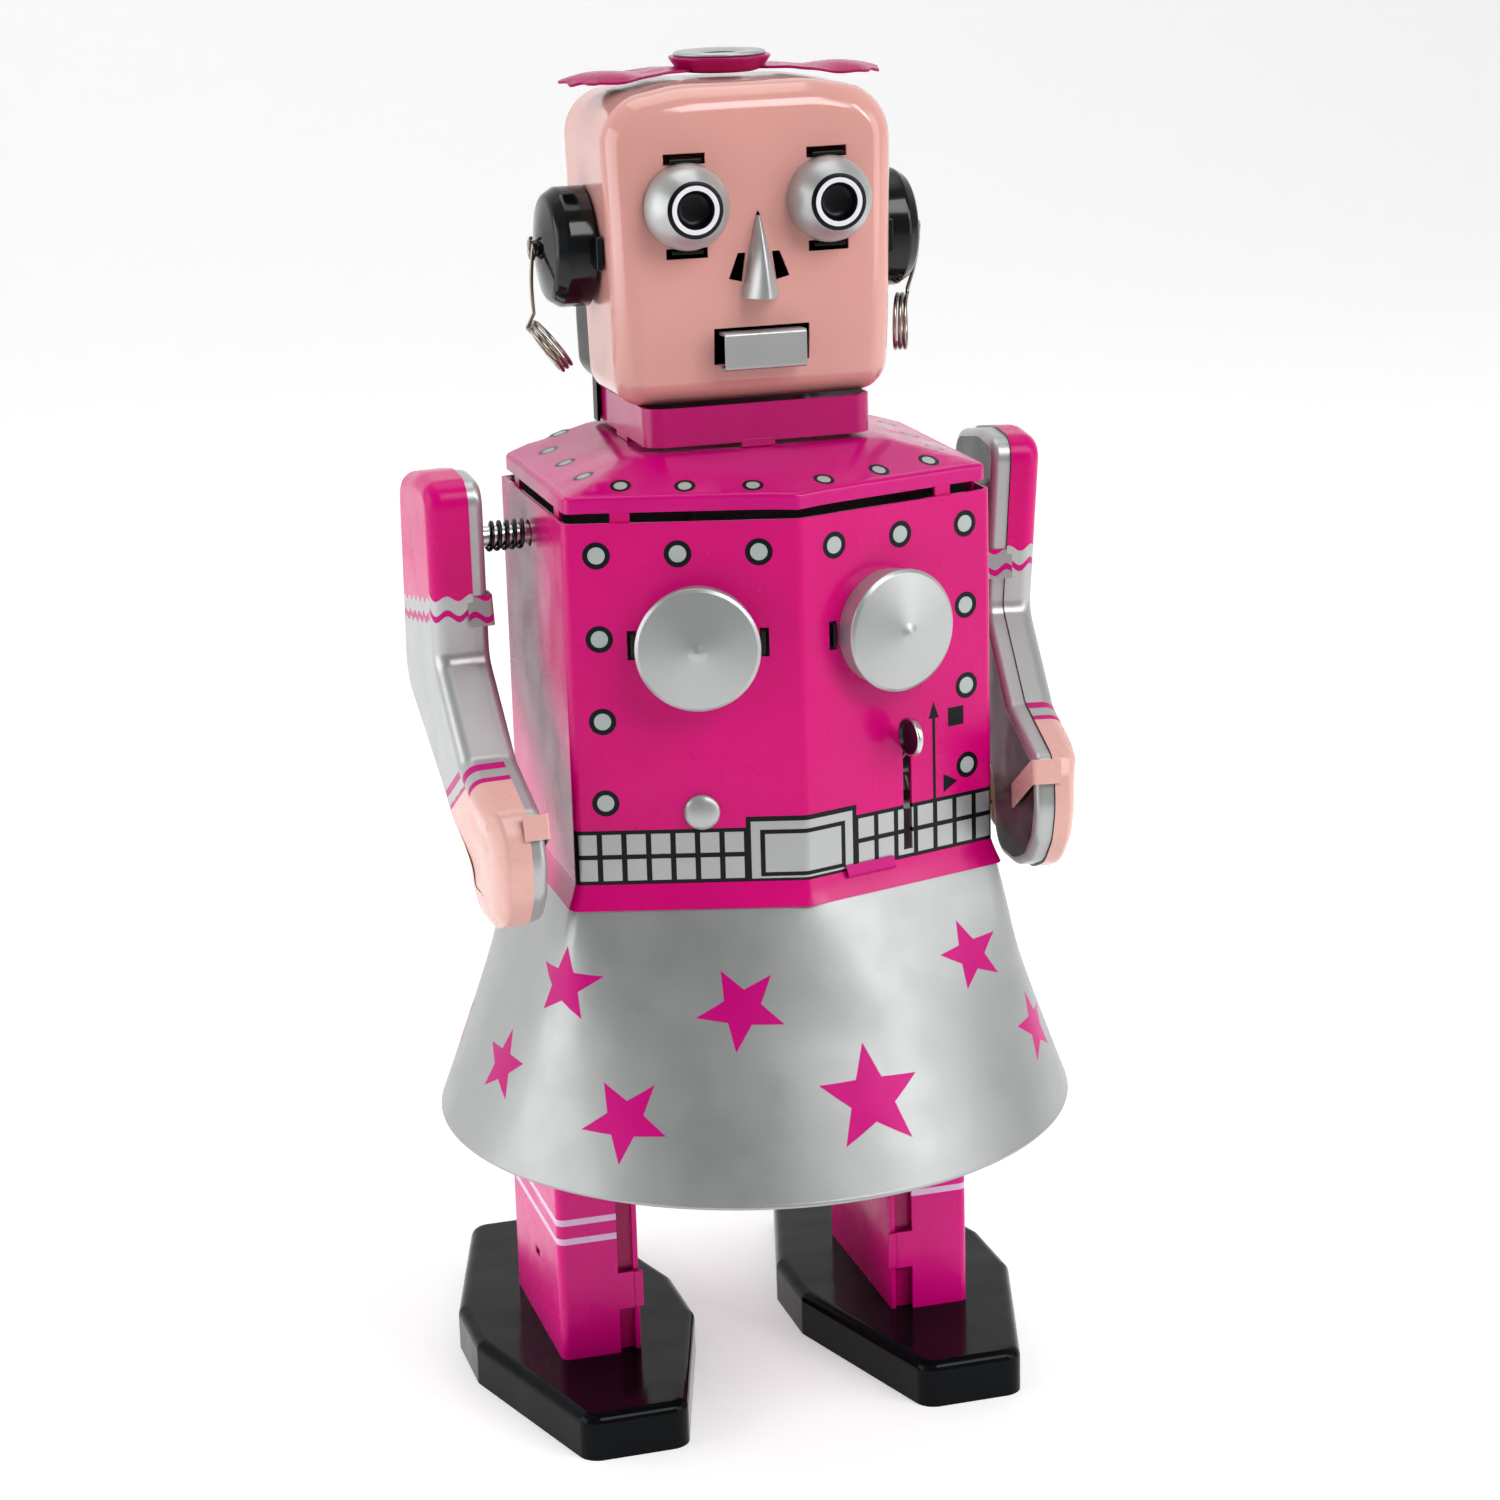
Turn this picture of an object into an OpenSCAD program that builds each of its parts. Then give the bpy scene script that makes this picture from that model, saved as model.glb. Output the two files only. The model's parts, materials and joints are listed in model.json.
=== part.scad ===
// Tin wind-up robot: a lithographed tin girl robot with a clockwork in the skirt.
// Millimetres. The robot faces -Y and stands on z = 0. Its right side is at -X.

/* [Sheet metal] */
// Thickness of the tin plate
tin = 0.6; // [0.5:0.1:0.7]

/* [Torso] */
// Half the width of the torso
torso_half_w = 31.7; // [31.5:0.1:32]
// Height of the waist, where the torso panels end
waist_z = 89.1; // [88.8:0.1:89.2]
// Height of the top edge of the torso panels
torso_top_z = 141.7; // [141:0.1:142]
// Depth of the torso from front crease to back crease
torso_depth = 57.5; // [57:0.5:58]
// Middle of the torso, front to back
torso_mid_y = -4.25; // [-4.5:0.05:-4]
// Slope of the front and back facets, in y per x
facet_slope = 0.298; // [0.29:0.002:0.3]

/* [Skirt] */
// Radius of the skirt at the hem
hem_r = 48.4; // [48.2:0.1:49]
// Height of the hem above the floor
hem_z = 46.75; // [46.5:0.25:47.5]
// Middle of the hem, front to back
hem_mid_y = -2.3; // [-2.5:0.1:-2]
// Height of the top of the skirt
skirt_top_z = 85.4; // [85.2:0.1:85.6]

/* [Head] */
// Half the width of the head at its widest
head_half_w = 21.4; // [21.2:0.1:21.5]
// Height of the underside of the head
head_bottom_z = 155.3; // [155:0.1:155.5]
// Height of the crown
head_top_z = 200.6; // [200:0.1:200.7]
// Front face of the head
face_y = -16.5; // [-16.6:0.1:-16.4]
// Joint between the front and back head shells
head_seam_y = 3; // [2:0.5:4]
// Back of the head
head_back_y = 16.5; // [16:0.5:17]

/* [Arms] */
// Height of the shoulder axis
shoulder_z = 136.4; // [136:0.1:137]
// Shoulder axis, front to back
shoulder_y = -2; // [-2.5:0.5:-1.5]
// Distance from the middle of the robot to the inner face of an arm, at the shoulder
arm_inner_x = 38.75; // [38.6:0.05:38.9]
// Thickness of an arm across both pressings
arm_thick = 8.3; // [8.1:0.1:8.4]
// Lean of the arms towards the body at the hands, in degrees
arm_lean = 1.5; // [1:0.5:2]

/* [Legs and feet] */
// Distance from the middle of the robot to the middle of a foot
foot_x = 26.6; // [26.5:0.1:26.8]
// Middle of the feet, front to back
foot_y = 11.9; // [11.5:0.1:12]
// Length of a foot
foot_len = 77.6; // [77:0.2:78]
// Width of a foot at its widest
foot_w = 35.4; // [35:0.2:35.6]
// Height of a foot
foot_h = 7.2; // [7:0.1:7.3]
// Distance from the middle of the robot to the outer face of a leg
leg_outer_x = 33.1; // [33:0.1:33.2]
// Half the stride of a leg
stride = 3.5; // [3:0.5:3.5]

/* [Clockwork] */
// Distance from the middle of the robot to the inner face of a motor plate
plate_x = 12; // [11.8:0.1:12.2]
// Size of the gear teeth: pitch diameter divided by the number of teeth
gear_module = 0.6; // [0.58:0.01:0.6]
// Radial running clearance of shafts and pins
running = 0.05; // [0.03:0.01:0.08]

/* [Hidden] */
$fn = 48;

slope_len = sqrt(1 + facet_slope * facet_slope);
facet_angle = atan(facet_slope);
torso_corner_y = torso_depth / 2 - facet_slope * torso_half_w;
back_corner_y = torso_mid_y + torso_corner_y;
neck_bottom_z = 149;
neck_back_y = 15.5;
gap = 0.05;

// Clockwork arbors, in y and z
key_y = 2;
key_z = 88.5;
great_teeth = 48;
pinion_teeth = 12;
crank_teeth = 36;
great_distance = gear_module * (great_teeth + pinion_teeth) / 2;
governor_distance = gear_module * (crank_teeth + pinion_teeth) / 2;
governor_angle = 160;
crank_y = key_y;
crank_z = key_z - great_distance;
governor_y = crank_y + governor_distance * cos(governor_angle);
governor_z = crank_z + governor_distance * sin(governor_angle);
arbor_r = 1.5;
governor_r = 1;
fly_x = 14.4;
crank_throw = 3.5;
crank_pin_r = 1.1;

// Stop lever pivot
lever_x = 17;
lever_y = -14;
lever_z = 97;

// Legs
leg_front_y = -6.6;
leg_back_y = 25;
leg_top_z = 50;
hanger_x = 20.5;
hanger_t = 0.8;
guide_r = 1.2;
guide_z = 61;
guide_ys = [-8, 12];
roller_r = 2.5;
roller_z = 2.8;
roller_offset = 26;
axle_r = 0.8;

// ---------------------------------------------------------------- helpers

module mirror_x(flip) {
    if (flip) {
        mirror([1, 0, 0]) children();
    } else {
        children();
    }
}

// A rod along +X that starts at x
module rod_x(x, y, z, r, len) {
    translate([x, y, z]) rotate([0, 90, 0]) cylinder(r = r, h = len);
}

// A box given by its lowest and highest corners
module block(low, high) {
    translate(low) cube(high - low);
}

// A rectangle with round corners, centred on the origin
module round_rect(w, d, r) {
    square([w - 2 * r, d], center = true);
    square([w, d - 2 * r], center = true);
    for (sx = [-1, 1], sy = [-1, 1]) {
        translate([sx * (w / 2 - r), sy * (d / 2 - r)]) circle(r = r);
    }
}

// Points of an arc about a centre
function arc(cx, cy, r, a0, a1, n) =
    [for (i = [0:n]) let (a = a0 + (a1 - a0) * i / n) [cx + r * cos(a), cy + r * sin(a)]];

// The torso outline, moved inwards by inset
function torso_points(inset) = let (
        w = torso_half_w - inset,
        ridge = torso_depth / 2 - inset * slope_len,
        corner = ridge - facet_slope * w)
    [[0, -ridge], [w, -corner], [w, corner], [0, ridge], [-w, corner], [-w, -corner]];

module torso_outline(inset) {
    translate([0, torso_mid_y]) polygon(torso_points(inset));
}

// Puts children on a front facet: x across, y up, z outwards, at a distance from the crease
module on_facet(side, x, z) {
    facet_y = torso_mid_y - torso_depth / 2 + facet_slope * x;
    translate([side * x, facet_y, z])
        rotate([0, 0, side * facet_angle])
        rotate([90, 0, 0])
        children();
}

// ---------------------------------------------------------------- torso

module torso_front_shell() {
    top_inset = 1.6;
    color("mediumvioletred") difference() {
        translate([0, 0, waist_z]) linear_extrude(torso_top_z - waist_z) difference() {
            torso_outline(0);
            torso_outline(tin);
        }
        // everything behind the sides belongs to the back cover
        block([-40, back_corner_y, 60], [40, 60, 160]);
        // slot for the stop lever
        block([lever_x - 0.9, -40, 90.5], [lever_x + 0.9, -20, 108.2]);
        // tab slots beside each dial
        for (side = [-1, 1], dx = [-9.3, 9.3]) {
            on_facet(side, 14, 124.2) block([dx - 0.6, -2, -2], [dx + 0.6, 2, 2]);
        }
        // shoulder and key holes
        for (side = [-1, 1]) {
            rod_x(side * torso_half_w - 2, shoulder_y, shoulder_z, 1.5 + running, 4);
        }
        rod_x(torso_half_w - 2, key_y, key_z, arbor_r + 0.4, 4);
        // rivet hole
        on_facet(-1, 14.2, 99.6) translate([0, 0, -2]) cylinder(r = 1 + gap, h = 4);
    }
}

module torso_back_cover() {
    flange = 4;
    color("mediumvioletred") translate([0, 0, waist_z + 0.1])
        linear_extrude(torso_top_z - waist_z - 0.2) difference() {
            union() {
                difference() {
                    torso_outline(0);
                    translate([-40, -60]) square([80, 60 + back_corner_y + gap]);
                }
                // flanges tucked inside the side panels
                intersection() {
                    torso_outline(tin + gap);
                    translate([-40, back_corner_y - flange]) square([80, flange + 1]);
                }
            }
            torso_outline(2 * tin + gap);
            translate([-29, back_corner_y - 2 * flange]) square([58, 2 * flange]);
        }
}

lid_low_z = 143;
lid_edge_z = 145.2;
lid_flat = [[-18.5, -16], [18.5, -16], [18.5, 16], [-18.5, 16]];

// Solid under the roof; drop lowers it, inset shrinks it
module lid_form(inset, drop) {
    hull() {
        translate([0, 0, lid_low_z - drop]) linear_extrude(lid_edge_z - lid_low_z)
            torso_outline(0.5 + inset);
        translate([0, 0, neck_bottom_z - drop - 0.1]) linear_extrude(0.1) polygon(lid_flat);
    }
}

module torso_lid() {
    tab_low_z = torso_top_z - 2.2;
    tab_x = torso_half_w - tin - gap - 0.3;
    color("mediumvioletred") {
        difference() {
            lid_form(0, 0);
            lid_form(tin, tin);
        }
        // locking tabs that reach down behind the panels
        for (side = [-1, 1]) {
            on_facet(side, 24, 0) block([-1.4, tab_low_z, -1.25], [1.4, lid_low_z + 0.1, -0.65]);
        }
        for (side = [-1, 1], y = [-19, 6]) {
            block([side * tab_x - 0.3, y, tab_low_z], [side * tab_x + 0.3, y + 3, lid_low_z + 0.1]);
        }
    }
}

module waist_band() {
    flare = 1.3;
    color("mediumvioletred") difference() {
        union() {
            hull() {
                translate([0, 0, skirt_top_z]) linear_extrude(0.1) torso_outline(-flare);
                translate([0, 0, waist_z - 0.1]) linear_extrude(0.1) torso_outline(0);
            }
            // lug folded up over the lower edge of the left front panel
            on_facet(1, 10.3, 0) hull() {
                block([-4.3, waist_z - 1, gap], [4.3, waist_z - 0.5, 0.85]);
                block([-4.1, waist_z - 1, gap], [4.1, waist_z + 1, 0.3]);
            }
        }
        hull() {
            translate([0, 0, skirt_top_z - 0.1]) linear_extrude(0.1) torso_outline(tin - flare);
            translate([0, 0, waist_z + 0.1]) linear_extrude(0.1) torso_outline(tin);
        }
        rod_x(torso_half_w - 2, key_y, key_z, arbor_r + 0.4, 5);
    }
}

// The skirt's form: straight at the waist, round at the hem
module skirt_form(inset, over) {
    hull() {
        translate([0, 0, skirt_top_z - 0.1 + over]) linear_extrude(0.1) torso_outline(inset - 1);
        translate([0, hem_mid_y, hem_z - over]) cylinder(r = hem_r - 0.6 - inset, h = 0.1, $fn = 96);
    }
}

module skirt() {
    bead_r = 0.6;
    color("silver") {
        difference() {
            skirt_form(0, 0);
            skirt_form(tin, 0.02);
        }
        // the turned hem
        translate([0, hem_mid_y, hem_z]) rotate_extrude($fn = 96)
            translate([hem_r - bead_r, 0]) circle(r = bead_r, $fn = 16);
    }
}

// ---------------------------------------------------------------- head

module neck_collar() {
    front_y = face_y + 1;
    depth = neck_back_y - front_y;
    half_w = 17;
    wall_z = neck_bottom_z + 0.8;
    color("mediumvioletred") {
        translate([0, front_y + depth / 2, wall_z])
            linear_extrude(head_bottom_z - wall_z) difference() {
                round_rect(2 * half_w, depth, 3);
                round_rect(2 * (half_w - tin), depth - 2 * tin, 3 - tin);
            }
        // tabs that reach down to the lid
        for (y = [front_y, neck_back_y - tin]) {
            block([-3, y, neck_bottom_z], [2, y + tin, wall_z + 0.1]);
        }
        for (x = [-half_w, half_w - tin]) {
            block([x, -4, neck_bottom_z], [x + tin, 2, wall_z + 0.1]);
        }
    }
}

// Head outline seen from the front, moved inwards by inset
function head_points(inset) = let (
        low_r = 4 - inset,
        top_r = 7 - inset,
        low_x = 20.2 - 4,
        top_x = head_half_w - 7,
        low_z = head_bottom_z + 4,
        top_z = 190.4,
        crown_r = 58 - inset,
        crown_z = head_top_z - 58,
        crown_a = 14.5)
    concat(
        arc(low_x, low_z, low_r, -90, 0, 8),
        arc(top_x, top_z, top_r, 0, 90 - crown_a, 8),
        arc(0, crown_z, crown_r, 90 - crown_a + 1, 90 + crown_a - 1, 12),
        arc(-top_x, top_z, top_r, 90 + crown_a, 180, 8),
        arc(-low_x, low_z, low_r, 180, 270, 8));

// The head outline drawn back from y0 to y1
module head_slab(inset, y0, y1) {
    translate([0, y1, 0]) rotate([90, 0, 0]) linear_extrude(y1 - y0) polygon(head_points(inset));
}

eye_x = 10.4;
eye_z = 183.8;

module head_front_shell() {
    color("lightsalmon") difference() {
        head_slab(0, face_y, head_seam_y);
        head_slab(tin, face_y + tin, head_seam_y + 1);
        // tab slots above and below each eye
        for (side = [-1, 1], z = [-6.6, 6.6]) {
            block([side * eye_x - 2.9, face_y - 1, eye_z + z - 0.6],
                [side * eye_x + 2.9, face_y + 1, eye_z + z + 0.6]);
        }
        // slots beside the nose
        for (side = [-1, 1]) {
            block([side * 3.4 - 0.9, face_y - 1, 172.8], [side * 3.4 + 0.9, face_y + 1, 176.6]);
        }
        // opening behind the mouth
        block([-6.8, face_y - 1, 161.2], [6.8, face_y + 1, 166.2]);
        // neck opening
        block([-15, -12, head_bottom_z - 1], [15, head_seam_y + 1, head_bottom_z + 2]);
        // ear rivet holes
        rod_x(-30, ear_y, ear_z, 1 + gap, 60);
    }
}

// Removes what lies below the slanted hair line
module above_hair_line(margin) {
    translate([-40, head_seam_y + 3, 168 + margin]) rotate([57, 0, 0])
        translate([0, -60, -80]) cube([80, 120, 80]);
}

module back_form(extra) {
    difference() {
        head_slab(tin + gap, head_seam_y - 2 + extra, head_back_y);
        head_slab(2 * tin + gap, head_seam_y - 3 + extra, head_back_y - tin);
    }
}

module head_back_shell() {
    color("lightsalmon") difference() {
        back_form(0);
        above_hair_line(0);
        block([-40, -10, head_bottom_z - 5], [40, head_seam_y + 2.5, 168]);
    }
}

module hair_back() {
    nape_z = 149.6;
    color("black") {
        intersection() {
            back_form(0);
            above_hair_line(-0.1);
            block([-40, head_seam_y + gap, head_bottom_z - 5], [40, 40, 200]);
        }
        // nape panel behind the neck
        translate([0, 0, nape_z]) linear_extrude(head_bottom_z + 1.1 - nape_z) difference() {
            translate([0, neck_back_y - 7.4]) round_rect(35.4, 16, 3.6);
            translate([0, neck_back_y - 8 + gap]) round_rect(34.2, 16, 3);
        }
    }
}

module eye(side) {
    cup = [[2.7, 0], [6.1, 0], [6.1, 1.2], [5.9, 2.4], [5.4, 3.5], [4.7, 4.5], [4.1, 5.1],
        [3.9, 5.3], [2.7, 5.3], [2.7, 4.9]];
    translate([side * eye_x, face_y, eye_z]) rotate([90, 0, 0]) {
        color("silver") rotate_extrude() polygon(cup);
        color("black") cylinder(r = 2.7, h = 3.6);
        color("silver") for (s = [-1, 1]) {
            block([-2.2, s * 6.3 - 0.3, -0.5], [2.2, s * 6.3 + 0.3, 0.4]);
        }
    }
}

module nose_form(inset) {
    hull() {
        translate([0, face_y - 0.2, 182.9 - 2 * inset]) cube([0.5, 0.2, 0.2], center = true);
        translate([0, face_y - 0.1, 170.8 - 2 * inset]) cube([5.5 - 2 * inset, 0.2, 0.2], center = true);
        translate([0, face_y - 4.1 + inset, 170.9 - 2 * inset]) sphere(r = 0.4, $fn = 12);
        translate([0, face_y - 3.2 + inset, 175.2 - inset]) sphere(r = 0.4, $fn = 12);
    }
}

module nose() {
    color("silver") difference() {
        nose_form(0);
        nose_form(0.5);
    }
}

module mouth() {
    out = 2.6;
    top_z = 166.1;
    color("silver") {
        block([-6.3, face_y - out, 160.6], [6.3, face_y - out + 0.5, top_z]);
        block([-6.3, face_y - out, top_z - 0.5], [6.3, face_y + 0.8, top_z]);
        block([-6.3, face_y - out, 160.6], [6.3, face_y, 161.1]);
    }
}

ear_z = 177.2;
ear_y = 0;

module ear(side) {
    x0 = head_half_w + gap;
    cup = [[0, 0], [8.6, 0], [8.6, 4.4], [8.1, 5.4], [7.2, 5.9], [3, 6.8], [1.2, 7.2], [0.9, 7.9], [0, 8]];
    hollow = [[0, -0.1], [8, -0.1], [8, 4.2], [7.5, 5], [3, 6.1], [0, 6.3]];
    color("black") mirror_x(side < 0) {
        translate([x0, ear_y, ear_z]) rotate([0, 90, 0]) rotate_extrude() difference() {
            polygon(cup);
            polygon(hollow);
        }
        block([x0, ear_y - 10.6, ear_z - 2.4], [x0 + 0.6, ear_y - 8.2, ear_z + 2.4]);
        // rivet through the side of the head
        rod_x(x0 - 1.4, ear_y, ear_z, 1, 8);
    }
}

// A hook round the middle of the ear, with a small coil hanging from it
module earring(side) {
    wire_r = 0.3;
    hook_r = 1.5;
    hook_x = head_half_w + gap + 7.55;
    coil_r = 4;
    coil_x = head_half_w + 6.1;
    coil_z = 163.4;
    color("dimgray") mirror_x(side < 0) {
        translate([hook_x, ear_y, ear_z]) rotate([0, 90, 0]) rotate_extrude()
            translate([hook_r, 0]) circle(r = wire_r, $fn = 16);
        hull() {
            translate([hook_x, ear_y, ear_z - hook_r]) sphere(r = wire_r, $fn = 12);
            translate([coil_x + 1.9, ear_y - 2, coil_z + 3.4]) sphere(r = wire_r, $fn = 12);
        }
        translate([coil_x, ear_y - 2, coil_z]) rotate([0, 55, 0]) for (dx = [-0.62, 0, 0.62]) {
            translate([0, 0, dx]) rotate_extrude()
                translate([coil_r, 0]) circle(r = wire_r + 0.05, $fn = 16);
        }
    }
}

// One lobe of the bow, seen from above, pointing to +X
module bow_lobe() {
    difference() {
        union() {
            translate([5, -4.2]) square([12.6, 8.4]);
            translate([17.6, 0]) circle(r = 6.6);
            translate([10, 0]) circle(r = 5.2);
        }
        for (a = [-50, 0, 50]) {
            translate([17.6 + 7.9 * cos(a), 7.9 * sin(a)]) circle(r = 1.9);
        }
    }
}

module hair_bow() {
    z = 201.2;
    color("mediumvioletred") translate([0, 1, z]) {
        difference() {
            union() {
                linear_extrude(0.6) {
                    bow_lobe();
                    mirror([1, 0]) bow_lobe();
                    circle(r = 6);
                }
                rotate_extrude() polygon([[3.2, 0], [6, 0], [7.4, 1.6], [7.4, 1.9], [3.2, 1.9]]);
            }
            translate([0, 0, -1]) cylinder(r = 3.2, h = 5);
        }
        // foot that holds the bow on the crown
        translate([0, 0, head_top_z - z]) difference() {
            cylinder(r = 5, h = z - head_top_z + 0.05);
            translate([0, 0, -1]) cylinder(r = 3.2, h = 5);
        }
    }
}

module bow_button() {
    color("silver") translate([0, 1, 203.1 + gap]) rotate_extrude()
        polygon([[3.9, 0], [6.6, 0], [6.9, 0.3], [6.5, 0.6], [4.4, 0.6], [3.9, 0.2]]);
}

// ---------------------------------------------------------------- front fittings

module dial(side) {
    shape = [[0, 0], [8.4, 0], [8.4, 3.2], [8.9, 3.5], [8.9, 4], [8.4, 4.2], [0.5, 5.9], [0, 6]];
    hollow = [[0, -1], [7.8, -1], [7.8, 3.4], [0, 5.2]];
    color("silver") on_facet(side, 14, 124.2) {
        rotate_extrude($fn = 72) difference() {
            polygon(shape);
            polygon(hollow);
        }
        for (s = [-1, 1]) {
            block([s * 9.3 - 0.5, -1.6, -0.6], [s * 9.3 + 0.5, 1.6, 0.5]);
            block([s * 8.8 - 0.5, -1.6, 0], [s * 8.8 + 0.5, 1.6, 0.5]);
        }
    }
}

module belt_rivet() {
    color("silver") on_facet(-1, 14.2, 99.6) {
        translate([0, 0, -1.4]) cylinder(r = 1, h = 1.5);
        rotate_extrude() polygon(concat([[0, 0]], arc(0, -1.05, 2.8, 23, 90, 8)));
    }
}

// ---------------------------------------------------------------- clockwork frame

plate_t = 1;
plate_low_z = 56;
plate_high_z = 106;
plate_half_y = 18;
pillar_spots = [[-15, 59], [16, 59], [-15, 103.5], [16, 103.5]];

module motor_plate(side) {
    color("lightgray") mirror_x(side < 0) difference() {
        block([plate_x, -plate_half_y, plate_low_z], [plate_x + plate_t, plate_half_y, plate_high_z]);
        rod_x(plate_x - 1, key_y, key_z, arbor_r + running, 3);
        rod_x(plate_x - 1, crank_y, crank_z, arbor_r + running, 3);
        rod_x(plate_x - 1, governor_y, governor_z, governor_r + running, 3);
        rod_x(plate_x - 1, lever_y, lever_z, 1, 3);
        for (y = guide_ys) {
            rod_x(plate_x - 1, y, guide_z, guide_r, 3);
        }
    }
}

// Cross plate that hangs the clockwork between the side panels
module motor_bracket() {
    half_w = torso_half_w - tin - gap;
    color("silver") difference() {
        union() {
            block([-half_w, -12, plate_high_z], [half_w, 11, plate_high_z + 0.8]);
            for (s = [-1, 1]) {
                block([s * (half_w - 0.4) - 0.4, -10, plate_high_z], [s * (half_w - 0.4) + 0.4, 9, plate_high_z + 6]);
            }
        }
        for (s = [-1, 1]) {
            translate([s * 22, 0, plate_high_z - 1]) cylinder(r = 4, h = 3);
        }
    }
}

module motor_pillars() {
    color("silver") for (p = pillar_spots) {
        rod_x(-plate_x, p[0], p[1], 1.6, 2 * plate_x);
    }
}

// Pins on which the leg hangers slide
module leg_guide_pins() {
    head_gap = 0.3;
    head_x = hanger_x + hanger_t + head_gap;
    color("silver") for (side = [-1, 1], y = guide_ys) {
        mirror_x(side < 0) {
            rod_x(plate_x, y, guide_z, guide_r, head_x - plate_x + 0.8);
            rod_x(head_x, y, guide_z, 2.2, 0.8);
            rod_x(plate_x + plate_t, y, guide_z, 2.2, hanger_x - 0.5 - plate_x - plate_t);
        }
    }
}

module lever_pin() {
    color("silver") {
        rod_x(plate_x, lever_y, lever_z, 1, lever_x + 1.5 - plate_x);
        rod_x(plate_x + plate_t, lever_y, lever_z, 1.7, lever_x - 0.8 - plate_x - plate_t);
        rod_x(lever_x + 0.8, lever_y, lever_z, 1.7, 0.7);
    }
}

// A flat spiral spring round the winding shaft
module mainspring() {
    turns = 6;
    steps = 24 * turns;
    inner_r = 2.6;
    pitch = 1.6;
    strip = 0.35;
    spiral = function(r0, from, to, dir) [for (i = [from:dir:to])
        let (a = 360 * i / 24, r = r0 + pitch * i / 24) [r * cos(a), r * sin(a)]];
    color("slategray") translate([-3.8, key_y, key_z]) rotate([0, 90, 0]) linear_extrude(6.8)
        polygon(concat(spiral(inner_r, 0, steps, 1), spiral(inner_r + strip, steps, 0, -1)));
}

// ---------------------------------------------------------------- gears

// Flank point of an involute tooth at radius r, as an angle in degrees
function involute(base_r, r) = let (t = sqrt(max(0, r * r / (base_r * base_r) - 1))) t * 180 / PI - atan(t);

// Outline of a spur gear, with a little backlash and short teeth
function gear_points(teeth, phase) = let (
        pitch_r = gear_module * teeth / 2,
        base_r = pitch_r * cos(20),
        tip_r = pitch_r + 0.8 * gear_module,
        root_r = pitch_r - 1.15 * gear_module,
        backlash = 0.06,
        half = 90 / teeth - backlash * 90 / PI / pitch_r + involute(base_r, pitch_r),
        foot_r = max(base_r, root_r + 0.05))
    [for (i = [0:teeth - 1], p = [[root_r, 0, -1], [foot_r, 1, -1], [(foot_r + tip_r) / 2, 1, -1],
            [tip_r, 1, -1], [tip_r, 1, 1], [(foot_r + tip_r) / 2, 1, 1], [foot_r, 1, 1], [root_r, 0, 1]])
        let (
            spread = p[1] == 1 ? half - involute(base_r, p[0]) : half,
            a = 360 * i / teeth + phase + p[2] * spread)
        [p[0] * cos(a), p[0] * sin(a)]];

// A gear in the YZ plane with its hub hole; angles run from +Y towards +Z
module gear(teeth, phase, x, y, z, width, bore) {
    translate([x, y, z]) rotate([90, 0, 90]) difference() {
        linear_extrude(width) polygon(gear_points(teeth, phase));
        translate([0, 0, -1]) cylinder(r = bore, h = width + 2);
    }
}

module winding_shaft() {
    color("darkgray") {
        rod_x(-plate_x - 2, key_y, key_z, arbor_r, 51.5);
        // collars that keep the shaft in the plates
        rod_x(-plate_x + 0.3, key_y, key_z, 2.4, 1);
        rod_x(plate_x - 1.3, key_y, key_z, 2.4, 1);
    }
}

module winding_key() {
    hub_x = 34.3;
    wing_x = 39.4;
    color("saddlebrown") difference() {
        union() {
            rod_x(hub_x, key_y, key_z, 2.6, wing_x - hub_x);
            translate([0, key_y, key_z]) rotate([35, 0, 0]) {
                for (s = [-1, 1]) {
                    rod_wing(wing_x, s);
                }
                block([wing_x - 1.5, -2.4, -0.6], [wing_x + 5.5, 2.4, 0.6]);
            }
        }
        rod_x(hub_x - 1, key_y, key_z, arbor_r, 4.4);
    }
}

// One round wing of the key, standing out to +Y or -Y
module rod_wing(x, s) {
    translate([x + 4.3, s * 5, -0.6]) difference() {
        cylinder(r = 4.3, h = 1.2);
        translate([0, 0, -1]) cylinder(r = 1.7, h = 4);
    }
}

module great_wheel() {
    color("goldenrod") difference() {
        gear(great_teeth, -90, 4, key_y, key_z, 2, arbor_r + running);
        for (a = [0:60:300]) {
            translate([3, key_y, key_z]) rotate([a, 0, 0]) rod_x(0, 0, 8.4, 2.6, 4);
        }
    }
}

module crank_shaft() {
    color("darkgray") {
        rod_x(-15.2, crank_y, crank_z, arbor_r, 30.4);
        gear(pinion_teeth, 90 + 180 / pinion_teeth, 3.6, crank_y, crank_z, 2.8, arbor_r - 0.3);
    }
}

module crank_wheel() {
    color("goldenrod") difference() {
        gear(crank_teeth, governor_angle, -6.4, crank_y, crank_z, 1.6, arbor_r);
        for (a = [0:60:300]) {
            translate([-7.4, crank_y, crank_z]) rotate([a, 0, 0]) rod_x(0, 0, 6, 1.8, 4);
        }
    }
}

// Disc with a pin that drives one leg; the two pins stand opposite each other
module crank(side) {
    color("darkgray") mirror_x(side < 0) {
        difference() {
            rod_x(14, crank_y, crank_z, 6, 1.2);
            rod_x(13, crank_y, crank_z, arbor_r, 2.2 + gap);
        }
        rod_x(15.2, crank_y, crank_z + side * crank_throw, crank_pin_r, hanger_x - 0.4 - 15.2);
    }
}

module governor_shaft() {
    color("darkgray") {
        rod_x(-plate_x - 1.6, governor_y, governor_z, governor_r, plate_x + 1.6 + fly_x + 1.2);
        gear(pinion_teeth, governor_angle + 180 + 180 / pinion_teeth, -7, governor_y, governor_z, 2.8,
            governor_r - 0.2);
    }
}

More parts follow.
